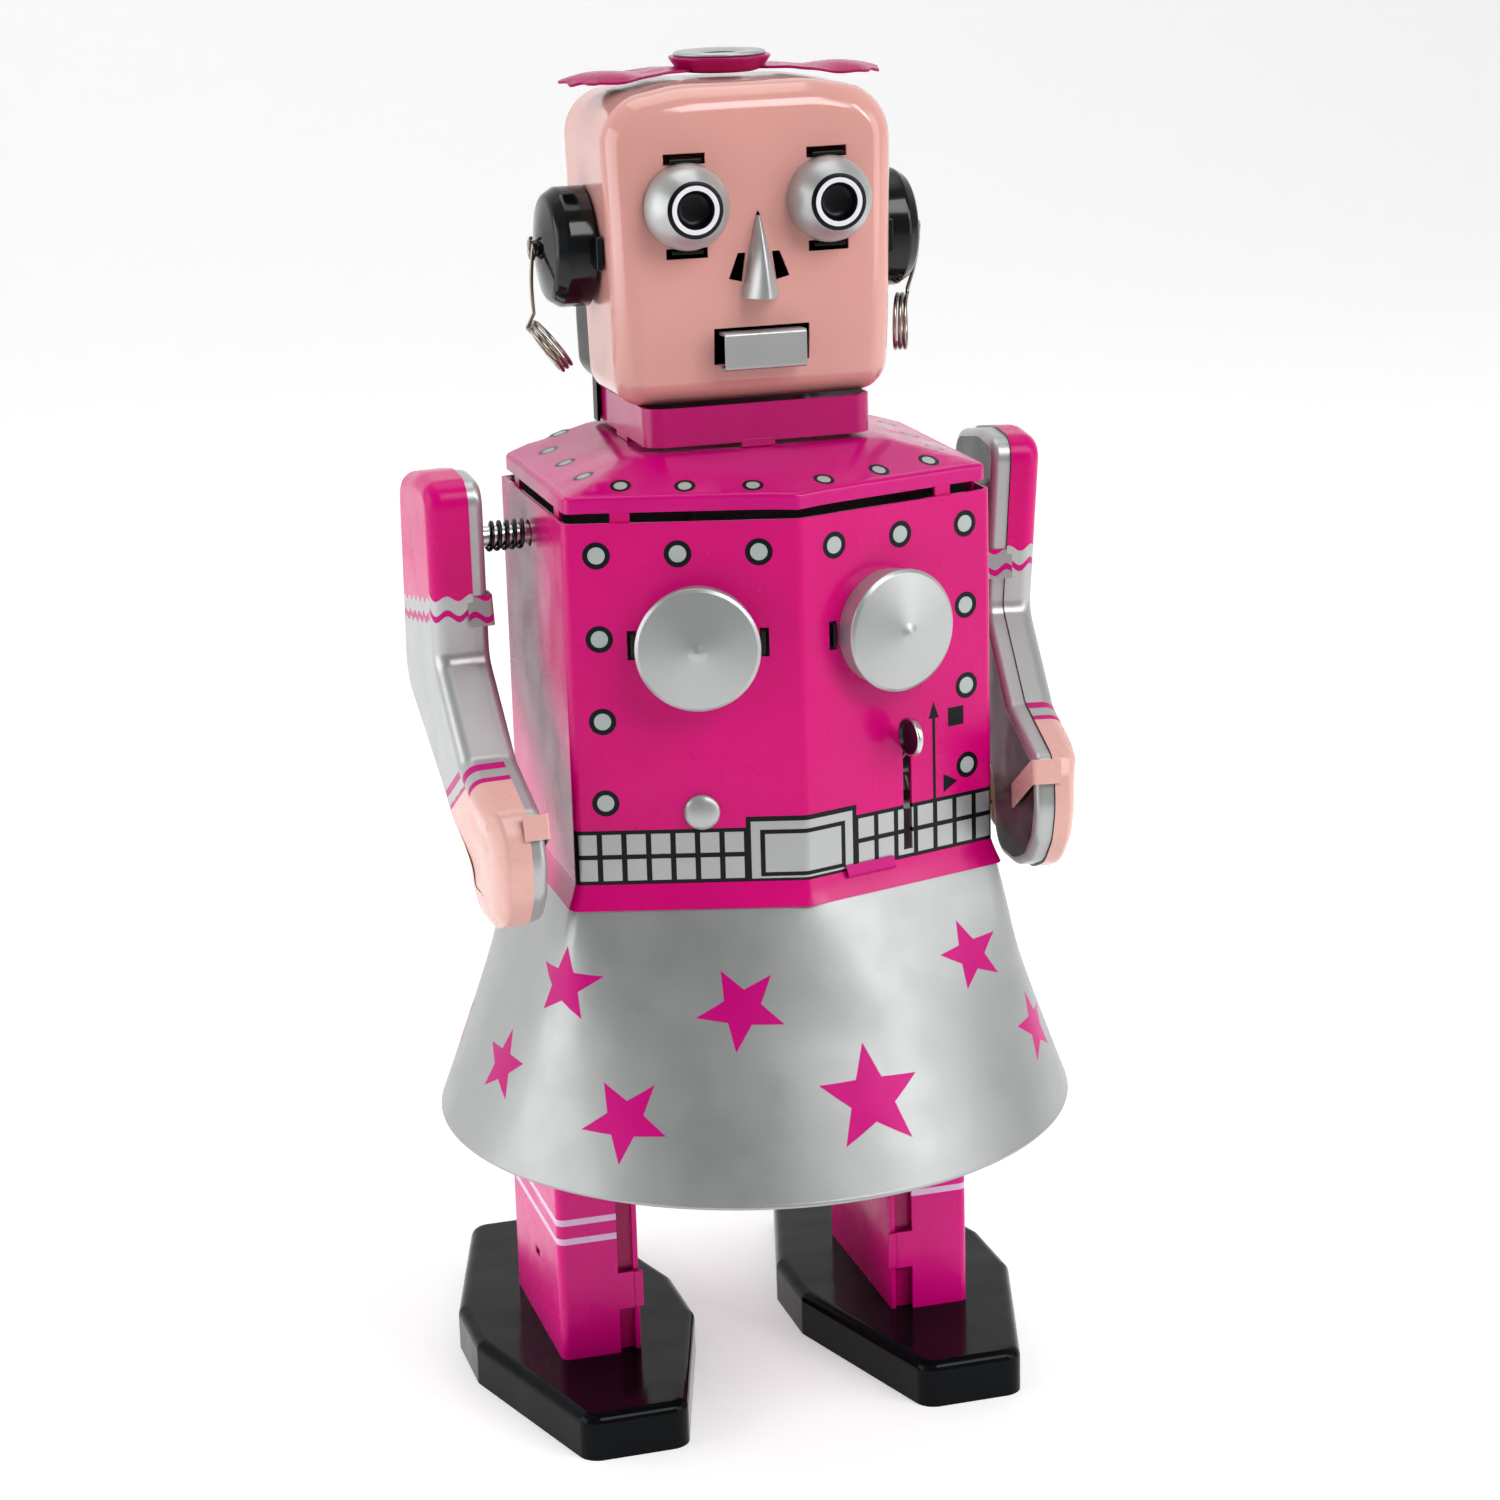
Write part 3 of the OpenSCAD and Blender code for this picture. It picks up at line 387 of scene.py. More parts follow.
def cut(outline, base, inks=(), holes=(), lines=()):
    """Cuts a flat shape along its outline, holes, printed shapes and lines.
    Returns u, v, triangles and the ink of each; a later print covers an earlier one."""
    points = []
    edges = []
    for chain, closed in [(outline, True), *[(h, True) for h in holes],
                          *[(p, True) for _, p in inks], *[(line, False) for line in lines]]:
        start = len(points)
        points.extend(Vector((float(x), float(y))) for x, y in chain)
        last = len(points) - 1
        edges.extend((i, i + 1) for i in range(start, last))
        if closed:
            edges.append((last, start))
    corners, _, triangles, *_ = delaunay_2d_cdt(points, edges, [], 0, 1e-5)
    flat = np.array([tuple(c) for c in corners])
    triangles = np.array([tuple(t) for t in triangles])
    a, b, c = (flat[triangles[:, k]] for k in range(3))
    area = (b[:, 0] - a[:, 0]) * (c[:, 1] - a[:, 1]) - (b[:, 1] - a[:, 1]) * (c[:, 0] - a[:, 0])
    middle = (a + b + c) / 3
    keep = within(outline, middle) & (np.abs(area) > 1e-9)
    for hole in holes:
        keep &= ~within(hole, middle)
    names = np.array([base] * len(triangles), dtype=object)
    for name, polygon in inks:
        names[within(polygon, middle)] = name
    triangles = triangles[keep]
    used, packed = np.unique(triangles, return_inverse=True)
    return flat[used, 0], flat[used, 1], packed.reshape(-1, 3).tolist(), list(names[keep])


def rectangle(x0, x1, y0, y1):
    return [(x0, y0), (x1, y0), (x1, y1), (x0, y1)]


def disc(x, y, r, n=28):
    angles = [2 * math.pi * i / n for i in range(n)]
    return [(x + r * math.cos(a), y + r * math.sin(a)) for a in angles]


def star(x, y, r, turn, squash=1.0):
    """A five-pointed star; turn is the angle of one point, in degrees."""
    inner = r * 0.43
    points = []
    for i in range(10):
        a = math.radians(turn + 36 * i)
        size = r if i % 2 == 0 else inner
        points.append((x + squash * size * math.cos(a), y + size * math.sin(a)))
    return points


def levels(low, high, step):
    """Evenly spaced values from low to high, about a step apart."""
    count = max(1, int(round((high - low) / step)))
    return [low + (high - low) * i / count for i in range(count + 1)]


def cross_lines(xs, ys, x0, x1, y0, y1):
    """Lines at every x and at every y, which keep the triangles of a cut shape small."""
    return [[(x, y0), (x, y1)] for x in xs] + [[(x0, y), (x1, y)] for y in ys]


def panel(shape, surface, outline, ink, prints, holes, lines, inside, thick=TIN, back="bare"):
    """Cuts a flat outline, prints it and adds it bent to its surface."""
    u, v, faces, inks = cut(outline, ink, prints, holes, lines)
    sheet(shape, surface, u, v, faces, inks, inside, thick, back)


def strip_lines(fold, low, high, step, bend_steps, row_step):
    """Cutting lines for a folded strip between two heights."""
    across = fold.stops(step, bend_steps)[1:-1]
    return cross_lines(across, levels(low, high, row_step)[1:-1], -1, fold.total + 1, low - 1, high + 1)


def upright(fold):
    """The surface of a folded strip that stands on edge."""
    return lambda u, v: np.column_stack([fold.at(u), v])


def spot(place_at, point, direction=False):
    """Where one point, or one direction, of a piece's own axes comes out in the row frame."""
    return place_at(np.array([point], float), direction)[0]


class Fold:
    """A folded strip seen on edge: straight runs joined by round corners.
    Places on it are measured along the sharp outline."""

    def __init__(self, corners, radii, closed=False):
        points = np.array(corners, float)
        self.closed = closed
        ends = np.roll(points, -1, axis=0) if closed else points[1:]
        starts = points if closed else points[:-1]
        self.starts = starts
        self.lengths = np.linalg.norm(ends - starts, axis=1)
        self.along = (ends - starts) / self.lengths[:, None]
        self.marks = np.concatenate([[0], np.cumsum(self.lengths)])
        self.total = self.marks[-1]
        radii = radii if hasattr(radii, "__len__") else [radii] * len(points)
        self.bends = []
        for k in range(len(points)):
            if not closed and k in (0, len(points) - 1):
                continue
            before, after = self.along[k - 1], self.along[k % len(self.along)]
            side = before[0] * after[1] - before[1] * after[0]
            angle = math.acos(max(-1.0, min(1.0, float(before @ after))))
            if angle < 1e-4 or radii[k] <= 0:
                continue
            reach = radii[k] * math.tan(angle / 2)
            normal = np.array([-before[1], before[0]]) * (1 if side > 0 else -1)
            self.bends.append((self.marks[k], points[k], before, normal, angle, radii[k], reach))

    def at(self, s):
        s = np.asarray(s, float)
        if self.closed:
            s = np.mod(s, self.total)
        run = np.clip(np.searchsorted(self.marks, s, side="right") - 1, 0, len(self.lengths) - 1)
        place_on = self.starts[run] + self.along[run] * (s - self.marks[run])[:, None]
        for mark, corner, before, normal, angle, radius, reach in self.bends:
            offset = s - mark
            if self.closed:
                offset = np.where(offset > self.total / 2, offset - self.total, offset)
            near = np.abs(offset) < reach
            turn = (offset[near] / reach + 1) / 2 * angle
            arc = (corner - before * reach + np.outer(np.sin(turn), before) * radius
                   + np.outer(1 - np.cos(turn), normal) * radius)
            place_on[near] = arc
        return place_on

    def stops(self, step, bend_steps=5):
        """Places to cut: close together round the bends, and at most a step apart elsewhere."""
        marks = {0.0, float(self.total)}
        for mark, _, _, _, _, _, reach in self.bends:
            for i in range(bend_steps + 1):
                value = mark - reach + 2 * reach * i / bend_steps
                marks.add(float(value % self.total) if self.closed else float(value))
        marks = sorted(marks)
        result = []
        for a, b in zip(marks, marks[1:]):
            if b - a < 1e-6:
                continue
            result.extend(levels(a, b, step)[:-1])
        if not self.closed:
            result.append(marks[-1])
        return result

    def inset(self, s, distance):
        """The outline moved to its left side by a distance."""
        step = 1e-3
        ahead = self.at(s + step) - self.at(s - step)
        ahead = unit(ahead)
        return self.at(s) + np.stack([-ahead[:, 1], ahead[:, 0]], axis=1) * np.reshape(distance, (-1, 1))


def lathe(shape, profile, centre, axis, ink, steps=64, start=(0, 0, 1)):
    """Turns a profile of (radius, height) about an axis through centre."""
    direction = unit(np.array(axis, float))
    side = unit(np.cross(direction, np.array(start, float)))
    other = np.cross(direction, side)
    profile = np.array(profile, float)
    tangent = np.gradient(profile, axis=0)
    lean = unit(np.stack([tangent[:, 1], -tangent[:, 0]], axis=1))
    row = np.repeat(np.arange(len(profile)), steps)
    turn = np.tile([2 * math.pi * i / steps for i in range(steps)], len(profile))
    radial = np.cos(turn)[:, None] * side + np.sin(turn)[:, None] * other
    points = np.array(centre) + np.outer(profile[row, 1], direction) + profile[row, :1] * radial
    normals = lean[row, :1] * radial + lean[row, 1:] * direction
    faces = turned(points, normals, grid_faces(len(profile), steps, True))
    inks = [ink if isinstance(ink, str) else ink(r) for r in range(len(profile) - 1) for _ in range(steps)]
    shape.add(points, normals, faces, inks)


def smooth_profile(corners, radius, steps=4):
    """A profile with its inner corners rounded."""
    fold = Fold(corners, radius)
    return fold.at(np.array(fold.stops(100.0, steps)))


def tube(shape, path, radius, ink, sides=10):
    """A round wire along a path of points, with flat ends."""
    path = np.array(path, float)
    tangents = unit(np.gradient(path, axis=0))
    normal = unit(np.cross(tangents[0], [0.3, 0.5, 0.81]))
    rings = []
    normals = []
    for point, tangent in zip(path, tangents):
        normal = unit(normal - tangent * (normal @ tangent))
        other = np.cross(tangent, normal)
        for k in range(sides):
            a = 2 * math.pi * k / sides
            out = math.cos(a) * normal + math.sin(a) * other
            rings.append(point + radius * out)
            normals.append(out)
    rings, normals = np.array(rings), np.array(normals)
    faces = turned(rings, normals, grid_faces(len(path), sides, True))
    shape.add(rings, normals, faces, [ink] * len(faces))
    for ring, facing in ((rings[:sides], -tangents[0]), (rings[-sides:], tangents[-1])):
        cap = np.tile(facing, (sides, 1))
        shape.add(ring, cap, turned(ring, cap, [tuple(range(sides))]), [ink])


def slab(shape, low, high, ink, frame_at=None, bevel=0.12):
    """A small block with softened edges, given by two opposite corners."""
    low, high = np.minimum(low, high), np.maximum(low, high)
    size = (high - low) / 2
    centre = (high + low) / 2
    bevel = min(bevel, *(size * 0.45))
    axes = np.eye(3)
    around = ((-1, -1), (1, -1), (1, 1), (-1, 1))
    for k in range(3):
        along, a, b = axes[k], axes[(k + 1) % 3], axes[(k + 2) % 3]
        for sign in (-1, 1):
            corners = [centre + size * sign * along + (size - bevel) * (sa * a + sb * b) for sa, sb in around]
            add_framed(shape, corners, [sign * along] * 4, ink, frame_at)
        for sa, sb in around:
            ends = [centre + (size - bevel) * sign * along for sign in (-1, 1)]
            on_a = size * sa * a + (size - bevel) * sb * b
            on_b = (size - bevel) * sa * a + size * sb * b
            corners = [ends[0] + on_a, ends[1] + on_a, ends[1] + on_b, ends[0] + on_b]
            add_framed(shape, corners, [sa * a, sa * a, sb * b, sb * b], ink, frame_at)
    for signs in itertools.product((-1, 1), repeat=3):
        corners = [centre + signs * (size - bevel * (1 - axis)) for axis in axes]
        add_framed(shape, corners, [signs * axis for axis in axes], ink, frame_at)


def add_framed(shape, corners, normals, ink, frame_at):
    """Adds one face, whose corners may be given in a piece's own axes."""
    corners, normals = np.array(corners), np.array(normals)
    if frame_at:
        corners, normals = frame_at(corners), frame_at(normals, True)
    face = turned(corners, normals, [tuple(range(len(corners)))])
    shape.add(corners, normals, face, [ink])


def refine(node, body, bevel, ink=None):
    """A softened copy of a CAD node that stands for it."""
    mesh = frame["nodes"][node].data.copy()
    mesh.name = node + "_refined"
    work = bmesh.new()
    work.from_mesh(mesh)
    bmesh.ops.remove_doubles(work, verts=work.verts, dist=0.002 * MM)
    bmesh.ops.dissolve_limit(work, angle_limit=math.radians(1.0), verts=work.verts, edges=work.edges)
    work.to_mesh(mesh)
    work.free()
    mesh.materials.clear()
    mesh.materials.append(INK[ink or NODE_INK[NODE_SLOT[node]]])
    piece = bpy.data.objects.new(node + "_refined", mesh)
    bpy.context.scene.collection.objects.link(piece)
    soft = piece.modifiers.new("soft", "BEVEL")
    soft.width = bevel * MM
    soft.segments = 2
    soft.limit_method = "ANGLE"
    soft.angle_limit = SHARP
    soft.use_clamp_overlap = True
    soft.harden_normals = False
    bpy.context.view_layer.update()
    baked = bpy.data.meshes.new_from_object(piece.evaluated_get(bpy.context.evaluated_depsgraph_get()))
    piece.modifiers.clear()
    piece.data = baked
    baked.polygons.foreach_set("use_smooth", [True] * len(baked.polygons))
    baked.set_sharp_from_angle(angle=SHARP)
    return place(piece, body, (node,))


# ---------------------------------------------------------------- torso

def torso_corners(inset=0.0):
    """The hexagon of the torso seen from above, from the right back corner round the front."""
    w = HALF_W - inset
    ridge = RIDGE - inset * STRETCH
    corner = ridge - SLOPE * w
    return [(-w, MID_Y + corner), (-w, MID_Y - corner), (0, MID_Y - ridge), (w, MID_Y - corner),
            (w, MID_Y + corner), (0, MID_Y + ridge)]


INSIDE_TORSO = (0, MID_Y, 110)
FACET = HALF_W * STRETCH
RIVET_R = 1.95
RIVET_DOT = 1.22
BELT_TOP = 97.1


def printed_rivets(spots, size=1.0):
    """A black ring with a grey middle at each spot."""
    prints = []
    for u, z in spots:
        prints.append(("black", disc(u, z, RIVET_R * size, 32)))
        prints.append(("grey_dot", disc(u, z, RIVET_DOT * size, 26)))
    return prints


def panel_rivets(middle, edge_x):
    """Where the rivets are printed on a torso panel: a row at the top and one down each side."""
    spots = [(middle + side * x * STRETCH, 137.2) for side in (-1, 1) for x in (edge_x, 16.39, 5.52)]
    return spots + [(middle + side * edge_x * STRETCH, z) for side in (-1, 1) for z in (125.2, 113.2, 101.2)]


def belt_squares(middle, first, pitch, count, wide):
    """Two rows of light squares on each side of the middle of the belt."""
    prints = []
    for side in (-1, 1):
        for column in range(count):
            start = first + pitch * column
            ends = sorted((middle + side * start, middle + side * (start + wide)))
            prints += [("silver", rectangle(*ends, low, high)) for low, high in ((89.6, 92.8), (93.5, 96.5))]
    return prints


def belt_prints(middle):
    """A black belt with light squares and a framed buckle."""
    buckle = 8.56
    prints = [("black", rectangle(middle - FACET - 1, middle + FACET + 1, WAIST_Z - 1, BELT_TOP))]
    prints += belt_squares(middle, buckle + 0.42, (FACET - buckle) / 7, 7, 2.72)
    for half, low, high, ink in ((8.66, WAIST_Z - 1, 98.7, "black"), (7.95, WAIST_Z + 0.35, 97.95, "silver"),
                                 (6.65, 89.75, 96.7, "black"), (5.95, 90.35, 96.05, "silver")):
        prints.append((ink, rectangle(middle - half, middle + half, low, high)))
    return prints


def lever_prints(middle):
    """The scale line with its arrow head, and a square for standing still and a triangle for going."""
    line = middle + 21.6 * STRETCH
    stop = middle + 25.4 * STRETCH
    go = middle + 24.2 * STRETCH
    return [
        ("black", rectangle(line - 0.26, line + 0.26, BELT_TOP, 109.6)),
        ("black", [(line - 0.95, 109.2), (line + 0.95, 109.2), (line, 111.8)]),
        ("black", rectangle(stop - 1.4, stop + 1.4, 107.5, 110.3)),
        ("black", [(go - 1.1, 97.7), (go + 1.5, 99.1), (go - 1.1, 100.5)]),
    ]


def torso_front():
    """The front facets and sides, with slots for the lever and the dials' tabs."""
    fold = Fold(torso_corners()[:5], [0, 1.5, 2.2, 1.5, 0])
    middle = fold.marks[2]
    prints = belt_prints(middle) + lever_prints(middle) + printed_rivets(panel_rivets(middle, 27.29))
    slot = middle + 17 * STRETCH
    holes = [rectangle(slot - 0.78, slot + 0.78, 90.3, 108.2)]
    from_corner = SHOULDER[1] - (MID_Y - CORNER)
    for side, shoulder in ((-1, fold.marks[1] - from_corner), (1, fold.marks[3] + from_corner)):
        for offset in (-9.35, 9.35):
            u = middle + side * DIAL_X * STRETCH + offset
            holes.append(rectangle(u - 0.65, u + 0.65, DIAL_Z - 2.1, DIAL_Z + 2.1))
        holes.append(disc(shoulder, SHOULDER[2], 2.0, 24))
    shape = Shape()
    panel(shape, upright(fold), rectangle(0, fold.total, WAIST_Z, TOP_Z), "magenta", prints, holes,
          strip_lines(fold, WAIST_Z, TOP_Z, 6.0, 6, 8.0), INSIDE_TORSO)
    shape.make("torso_front_printed", "body", ("torso_front_shell",))


def torso_back():
    """The back facets, whose joggled edges tuck inside the front pressing."""
    w = HALF_W
    joggle = TIN + 0.05
    corner_y = MID_Y + CORNER
    edge = [(w - joggle, corner_y - 4), (w - joggle, corner_y - 0.6), (w, corner_y + 0.1),
            (w - 0.2, corner_y + 0.75)]
    corners = edge + [(0, MID_Y + RIDGE)] + [(-x, y) for x, y in reversed(edge)]
    fold = Fold(corners, [0, 0.3, 0.3, 0.4, 2.2, 0.4, 0.3, 0.3, 0])
    middle = fold.marks[4]
    low, high = WAIST_Z + 0.1, TOP_Z - 0.1
    prints = [("black", rectangle(-1, fold.total + 1, 88, BELT_TOP))]
    prints += belt_squares(middle, 0.38, 3.5, 9, 2.75)
    prints += printed_rivets(panel_rivets(middle, 27.0))
    shape = Shape()
    panel(shape, upright(fold), rectangle(0, fold.total, low, high), "magenta", prints, (),
          strip_lines(fold, low, high, 6.0, 5, 8.0), INSIDE_TORSO)
    shape.make("torso_back_printed", "body", ("torso_back_cover",))


def lid_height(x, y):
    """Height of the lid's roof: the lowest of its planes, with soft creases between them."""
    w = HALF_W - 0.5
    ridge = RIDGE - 0.5 * STRETCH
    flat_x, flat_y, rise = 18.5, 16.0, LID_TOP - LID_EDGE
    heights = [np.full_like(x, rise)]
    for side in (-1, 1):
        heights.append(rise * (w - side * x) / (w - flat_x))
        for end in (-1, 1):
            level = ridge - SLOPE * side * x - end * (y - MID_Y)
            corner = ridge - SLOPE * flat_x - end * (end * flat_y - MID_Y)
            heights.append(rise * level / corner)
    for end in (-1, 1):
        reach = ridge - end * (end * flat_y - MID_Y)
        heights.append(rise * (ridge - end * (y - MID_Y)) / reach)
    soft = 0.14
    total = sum(np.exp(-h / soft) for h in heights)
    return LID_EDGE - soft * np.log(total)


def torso_lid():
    """The hipped lid: its roof, its turned-down edge and the tabs that show in the gap under it."""
    shape = Shape()
    round_r = 0.9
    rim = Fold(torso_corners(0.5), 1.6, closed=True)
    stops = rim.stops(2.5, 5)
    outline = [tuple(p) for p in rim.inset(np.array(stops), round_r)]
    row = [(5.2, -28.2), (14.3, -25.4), (22.8, -22.4), (26.3, -15), (26.3, -4), (26.3, 6.5),
           (22.8, 13.9), (14.3, 16.9), (5.2, 19.7)]
    prints = printed_rivets([(side * x, y) for x, y in row for side in (-1, 1)], 0.78)
    lines = cross_lines([], levels(-32, 23, 2.2), -40, 40, -40, 40)
    lines += cross_lines(levels(-30, 30, 2.2), [], -40, 40, -40, 40)

    def roof(u, v):
        return np.column_stack([u, v, lid_height(u, v)])

    def lip(u, v):
        """v runs from the roof (0) round the edge (1) and down to the open edge (2)."""
        bend = np.clip(v, 0, 1) * math.pi / 2
        flat = rim.inset(u, round_r * (1 - np.sin(bend)) - np.minimum(v, 0) * round_r)
        edge = rim.inset(u, round_r)
        height = lid_height(edge[:, 0], edge[:, 1])
        fall = round_r * 0.8 * (1 - np.cos(bend)) + np.maximum(v - 1, 0) * (LID_EDGE - LID_LOW - 0.5)
        low = np.minimum(height - fall, LID_EDGE + 0.35 - fall + (height - LID_EDGE) * 0.9)
        return np.column_stack([flat, low])

    def under(u, v):
        return np.column_stack([rim.inset(u, v), np.full_like(u, LID_LOW + 0.1)])

    panel(shape, roof, outline, "magenta_lid", prints, (), lines, (0, MID_Y, 120), thick=0)
    grid(shape, lip, stops, [0, 0.2, 0.4, 0.6, 0.8, 1.0, 1.5, 2.0], "magenta_lid", (0, MID_Y, 143.5),
         closed=True)
    grid(shape, under, stops, [0.0, 1.2], "bare", (0, MID_Y, 150), closed=True)
    tab_low, tab_high = TOP_Z - 2.2, LID_LOW + 0.9
    for side in (-1, 1):
        slab(shape, (-1.4, tab_low, -1.2), (1.4, tab_high, -0.55), "magenta", facet_frame(side, 24, 0))
        for y in (-19, 6):
            x = side * (HALF_W - TIN - 0.35)
            slab(shape, (x - 0.3, y, tab_low), (x + 0.3, y + 3, tab_high), "magenta")
    shape.make("torso_lid_printed", "body", ("torso_lid",))


def facet_frame(side, x, z):
    """Maps (along, up, outwards) on a front facet to the row frame."""
    angle = math.atan(SLOPE)
    axes = np.array([[math.cos(angle), side * math.sin(angle), 0], [0, 0, 1],
                     [side * math.sin(angle), -math.cos(angle), 0]])
    origin = np.array([side * x, MID_Y - RIDGE + SLOPE * x, z])

    def place_at(points, direction=False):
        moved = points @ axes
        return moved if direction else moved + origin

    return place_at


def waist_band():
    """The flared band under the torso, with a lug that is folded up over the front panel."""
    flare = 1.3
    low = Fold(torso_corners(-flare), 2.0, closed=True)
    high = Fold(torso_corners(0.0), 1.6, closed=True)
    facet = facet_frame(1, 10.3, 0)
    bend = Fold([(88.1, 0.5), (88.5, 0.92), (89.0, 0.75), (89.9, 0.2)], [0, 0.3, 0.5, 0])

    def surface(u, v):
        spread = (1 - np.clip(v, 0, 1)) ** 1.25
        inner = high.at(u)
        outer = low.at(u * low.total / high.total)
        flat = inner + (outer - inner) * spread[:, None]
        return np.column_stack([flat, SKIRT_TOP + (WAIST_Z - SKIRT_TOP) * v])

    def lug(u, v):
        return facet(np.column_stack([u, bend.at(v)]))

    shape = Shape()
    grid(shape, surface, high.stops(3.0, 6), [0.02, 0.15, 0.35, 0.55, 0.75, 0.9, 0.98], "magenta",
         (0, MID_Y, 87), closed=True, thick=TIN * 0.9)
    grid(shape, lug, levels(-4.2, 4.2, 1.0), bend.stops(0.4, 4), "star", (5, -20, 89), thick=0.2, back="star")
    shape.make("waist_band_formed", "body", ("waist_band",))


# ---------------------------------------------------------------- skirt

def waist_radius(theta, down):
    """Distance from the torso's middle to the skirt's upper outline; its corners fade out going down."""
    w = HALF_W + 1.0
    ridge = RIDGE + STRETCH
    sx, sy = np.sin(theta), -np.cos(theta)
    power = 9.0 + 31.0 * np.clip(1 - down * 2, 0, 1) ** 2
    total = np.zeros_like(theta)
    for side in (-1, 1):
        total += np.maximum(side * sx / w, 0.0) ** power
        for end in (-1, 1):
            total += np.maximum((end * sy + side * SLOPE * sx) / ridge, 0.0) ** power
    return total ** (-1.0 / power)


def skirt():
    """One cone from the torso's outline to a round beaded hem. u goes round it and v down it."""
    slant = 44.0
    scale = 48.0
    edge = math.pi * scale

    def surface(u, v):
        theta = u / scale
        t = v / slant
        r = waist_radius(theta, t)
        hem_r = HEM_R - 0.12
        top = np.column_stack([r * np.sin(theta), MID_Y - r * np.cos(theta)])
        hem = np.column_stack([hem_r * np.sin(theta), HEM_Y - hem_r * np.cos(theta)])
        flat = top + (hem - top) * t[:, None]
        return np.column_stack([flat, SKIRT_TOP + (HEM_Z - SKIRT_TOP) * t])

    # degrees round from the front, share of the way down, radius, and the angle of one point
    stars = [(-59.5, 0.28, 6.4, 90), (-75, 0.66, 6.0, 90), (-19, 0.34, 6.6, -96), (-41.5, 0.73, 6.8, -88),
             (7.5, 0.68, 8.3, 88), (44, 0.30, 5.9, 95), (58, 0.66, 6.2, 90), (86, 0.38, 6.0, 93),
             (116, 0.44, 6.0, -84), (142, 0.72, 6.6, 92), (171, 0.36, 5.6, 96), (-112, 0.72, 6.2, -95),
             (-136, 0.32, 5.4, 90), (-160, 0.7, 6.4, 86)]
    prints = []
    for degrees, t, r, turn in stars:
        theta = math.radians(degrees)
        wide = scale / float(waist_radius(np.array([theta]), t)[0] * (1 - t) + HEM_R * t)
        # down the skirt is +v, so an upward point has a negative angle
        prints.append(("star", star(theta * scale, t * slant, r, -turn, wide)))
    lines = cross_lines(levels(-edge, edge, 3.2)[1:-1], levels(0, slant, 4.4)[1:-1],
                        -edge - 1, edge + 1, -1, slant + 1)
    shape = Shape()
    panel(shape, surface, rectangle(-edge, edge, 0, slant), "skirt", prints, (), lines, (0, MID_Y, 66))
    bead_r = HEM_BEAD - 0.1
    lathe(shape, disc(HEM_R - HEM_BEAD, -0.1, bead_r, 12) + [(HEM_R - HEM_BEAD + bead_r, -0.1)],
          (0, HEM_Y, HEM_Z), (0, 0, 1), "skirt", 128, (0, 1, 0))
    shape.make("skirt_printed", "body", ("skirt",))


# ---------------------------------------------------------------- head

def head_fold():
    """The head seen from the front, as (x, z), counted so that its left side is inside."""
    half = [(20.2, CHIN_Z), (HEAD_W, CROWN_Z - 2.6), (9.5, CROWN_Z - 0.35)]
    return Fold(half + [(-x, z) for x, z in reversed(half)], [4.2, 7.4, 20.0, 20.0, 7.4, 4.2], closed=True)


FACE_R = 3.9
HEAD = head_fold()
HEAD_STOPS = HEAD.stops(1.6, 8)
INSIDE_HEAD = (0, 0, 178)


def face_crown(x, z):
    """The face is slightly domed, and more so near its edges."""
    across = x / 21.0
    along = (z - 178.0) / 21.0
    return 0.25 * (across ** 2 + along ** 2) + 1.1 * (across ** 4 + along ** 4)


def head_wall(u, v):
    """From the face (v = 0) over the rounded edge (v = 1) and straight back to the seam (v = 2)."""
    bend = np.minimum(v, 1) * math.pi / 2
    flat = HEAD.inset(u, FACE_R * (1 - np.sin(bend)))
    depth = FACE_Y + face_crown(flat[:, 0], flat[:, 1]) + FACE_R * (1 - np.cos(bend))
    depth = depth + (SEAM_Y - depth) * np.maximum(v - 1, 0)
    return np.column_stack([flat[:, 0], depth, flat[:, 1]])


def head_front():
    """The face pressing, with slots for the tabs of its fittings."""
    holes = []
    for side in (-1, 1):
        x = side * EYE_X
        for z in (EYE_Z - 6.55, EYE_Z + 6.55):
            holes.append(rectangle(x - 3.0, x + 3.0, z - 0.75, z + 0.75))
        holes.append([(side * x, z) for x, z in ((1.9, 176.9), (3.1, 176.9), (4.5, 173.3), (2.5, 172.8))])
    holes.append(rectangle(-6.8, 7.3, 161.2, 166.4))

    def face(u, v):
        return np.column_stack([u, FACE_Y + face_crown(u, v), v])

    shape = Shape()
    outline = [tuple(p) for p in HEAD.inset(np.array(HEAD_STOPS), FACE_R)]
    lines = cross_lines(levels(-18, 18, 3.0), levels(158, 198, 3.0), -30, 30, 150, 205)
    # the inside of the face is painted black as painted shade, so its slots and the mouth opening read dark
    panel(shape, face, outline, "skin", (), holes, lines, INSIDE_HEAD, back="black")
    rows = [0, 0.15, 0.3, 0.45, 0.6, 0.75, 0.9, 1.0, 1.3, 1.65, 2.0]
    grid(shape, head_wall, HEAD_STOPS, rows, "skin", INSIDE_HEAD, closed=True)
    grid(shape, rear_edge, HEAD_STOPS, [0.0, 1.0], "skin", (0, -20, 178), closed=True)
    shape.make("head_front_enamel", "body", ("head_front_shell",))


def rear_edge(u, v):
    """The cut rear edge of the face pressing."""
    flat = HEAD.inset(u, v * TIN)
    return np.column_stack([flat[:, 0], np.full_like(u, SEAM_Y), flat[:, 1]])


BACK_INSET = TIN + 0.05
BACK_R = 4.2
BACK_RUN = HEAD_BACK - BACK_R - (SEAM_Y - 2)
HAIR_Y = 6.0
HAIR_Z = 168.0
HAIR_SLOPE = math.tan(math.radians(57))


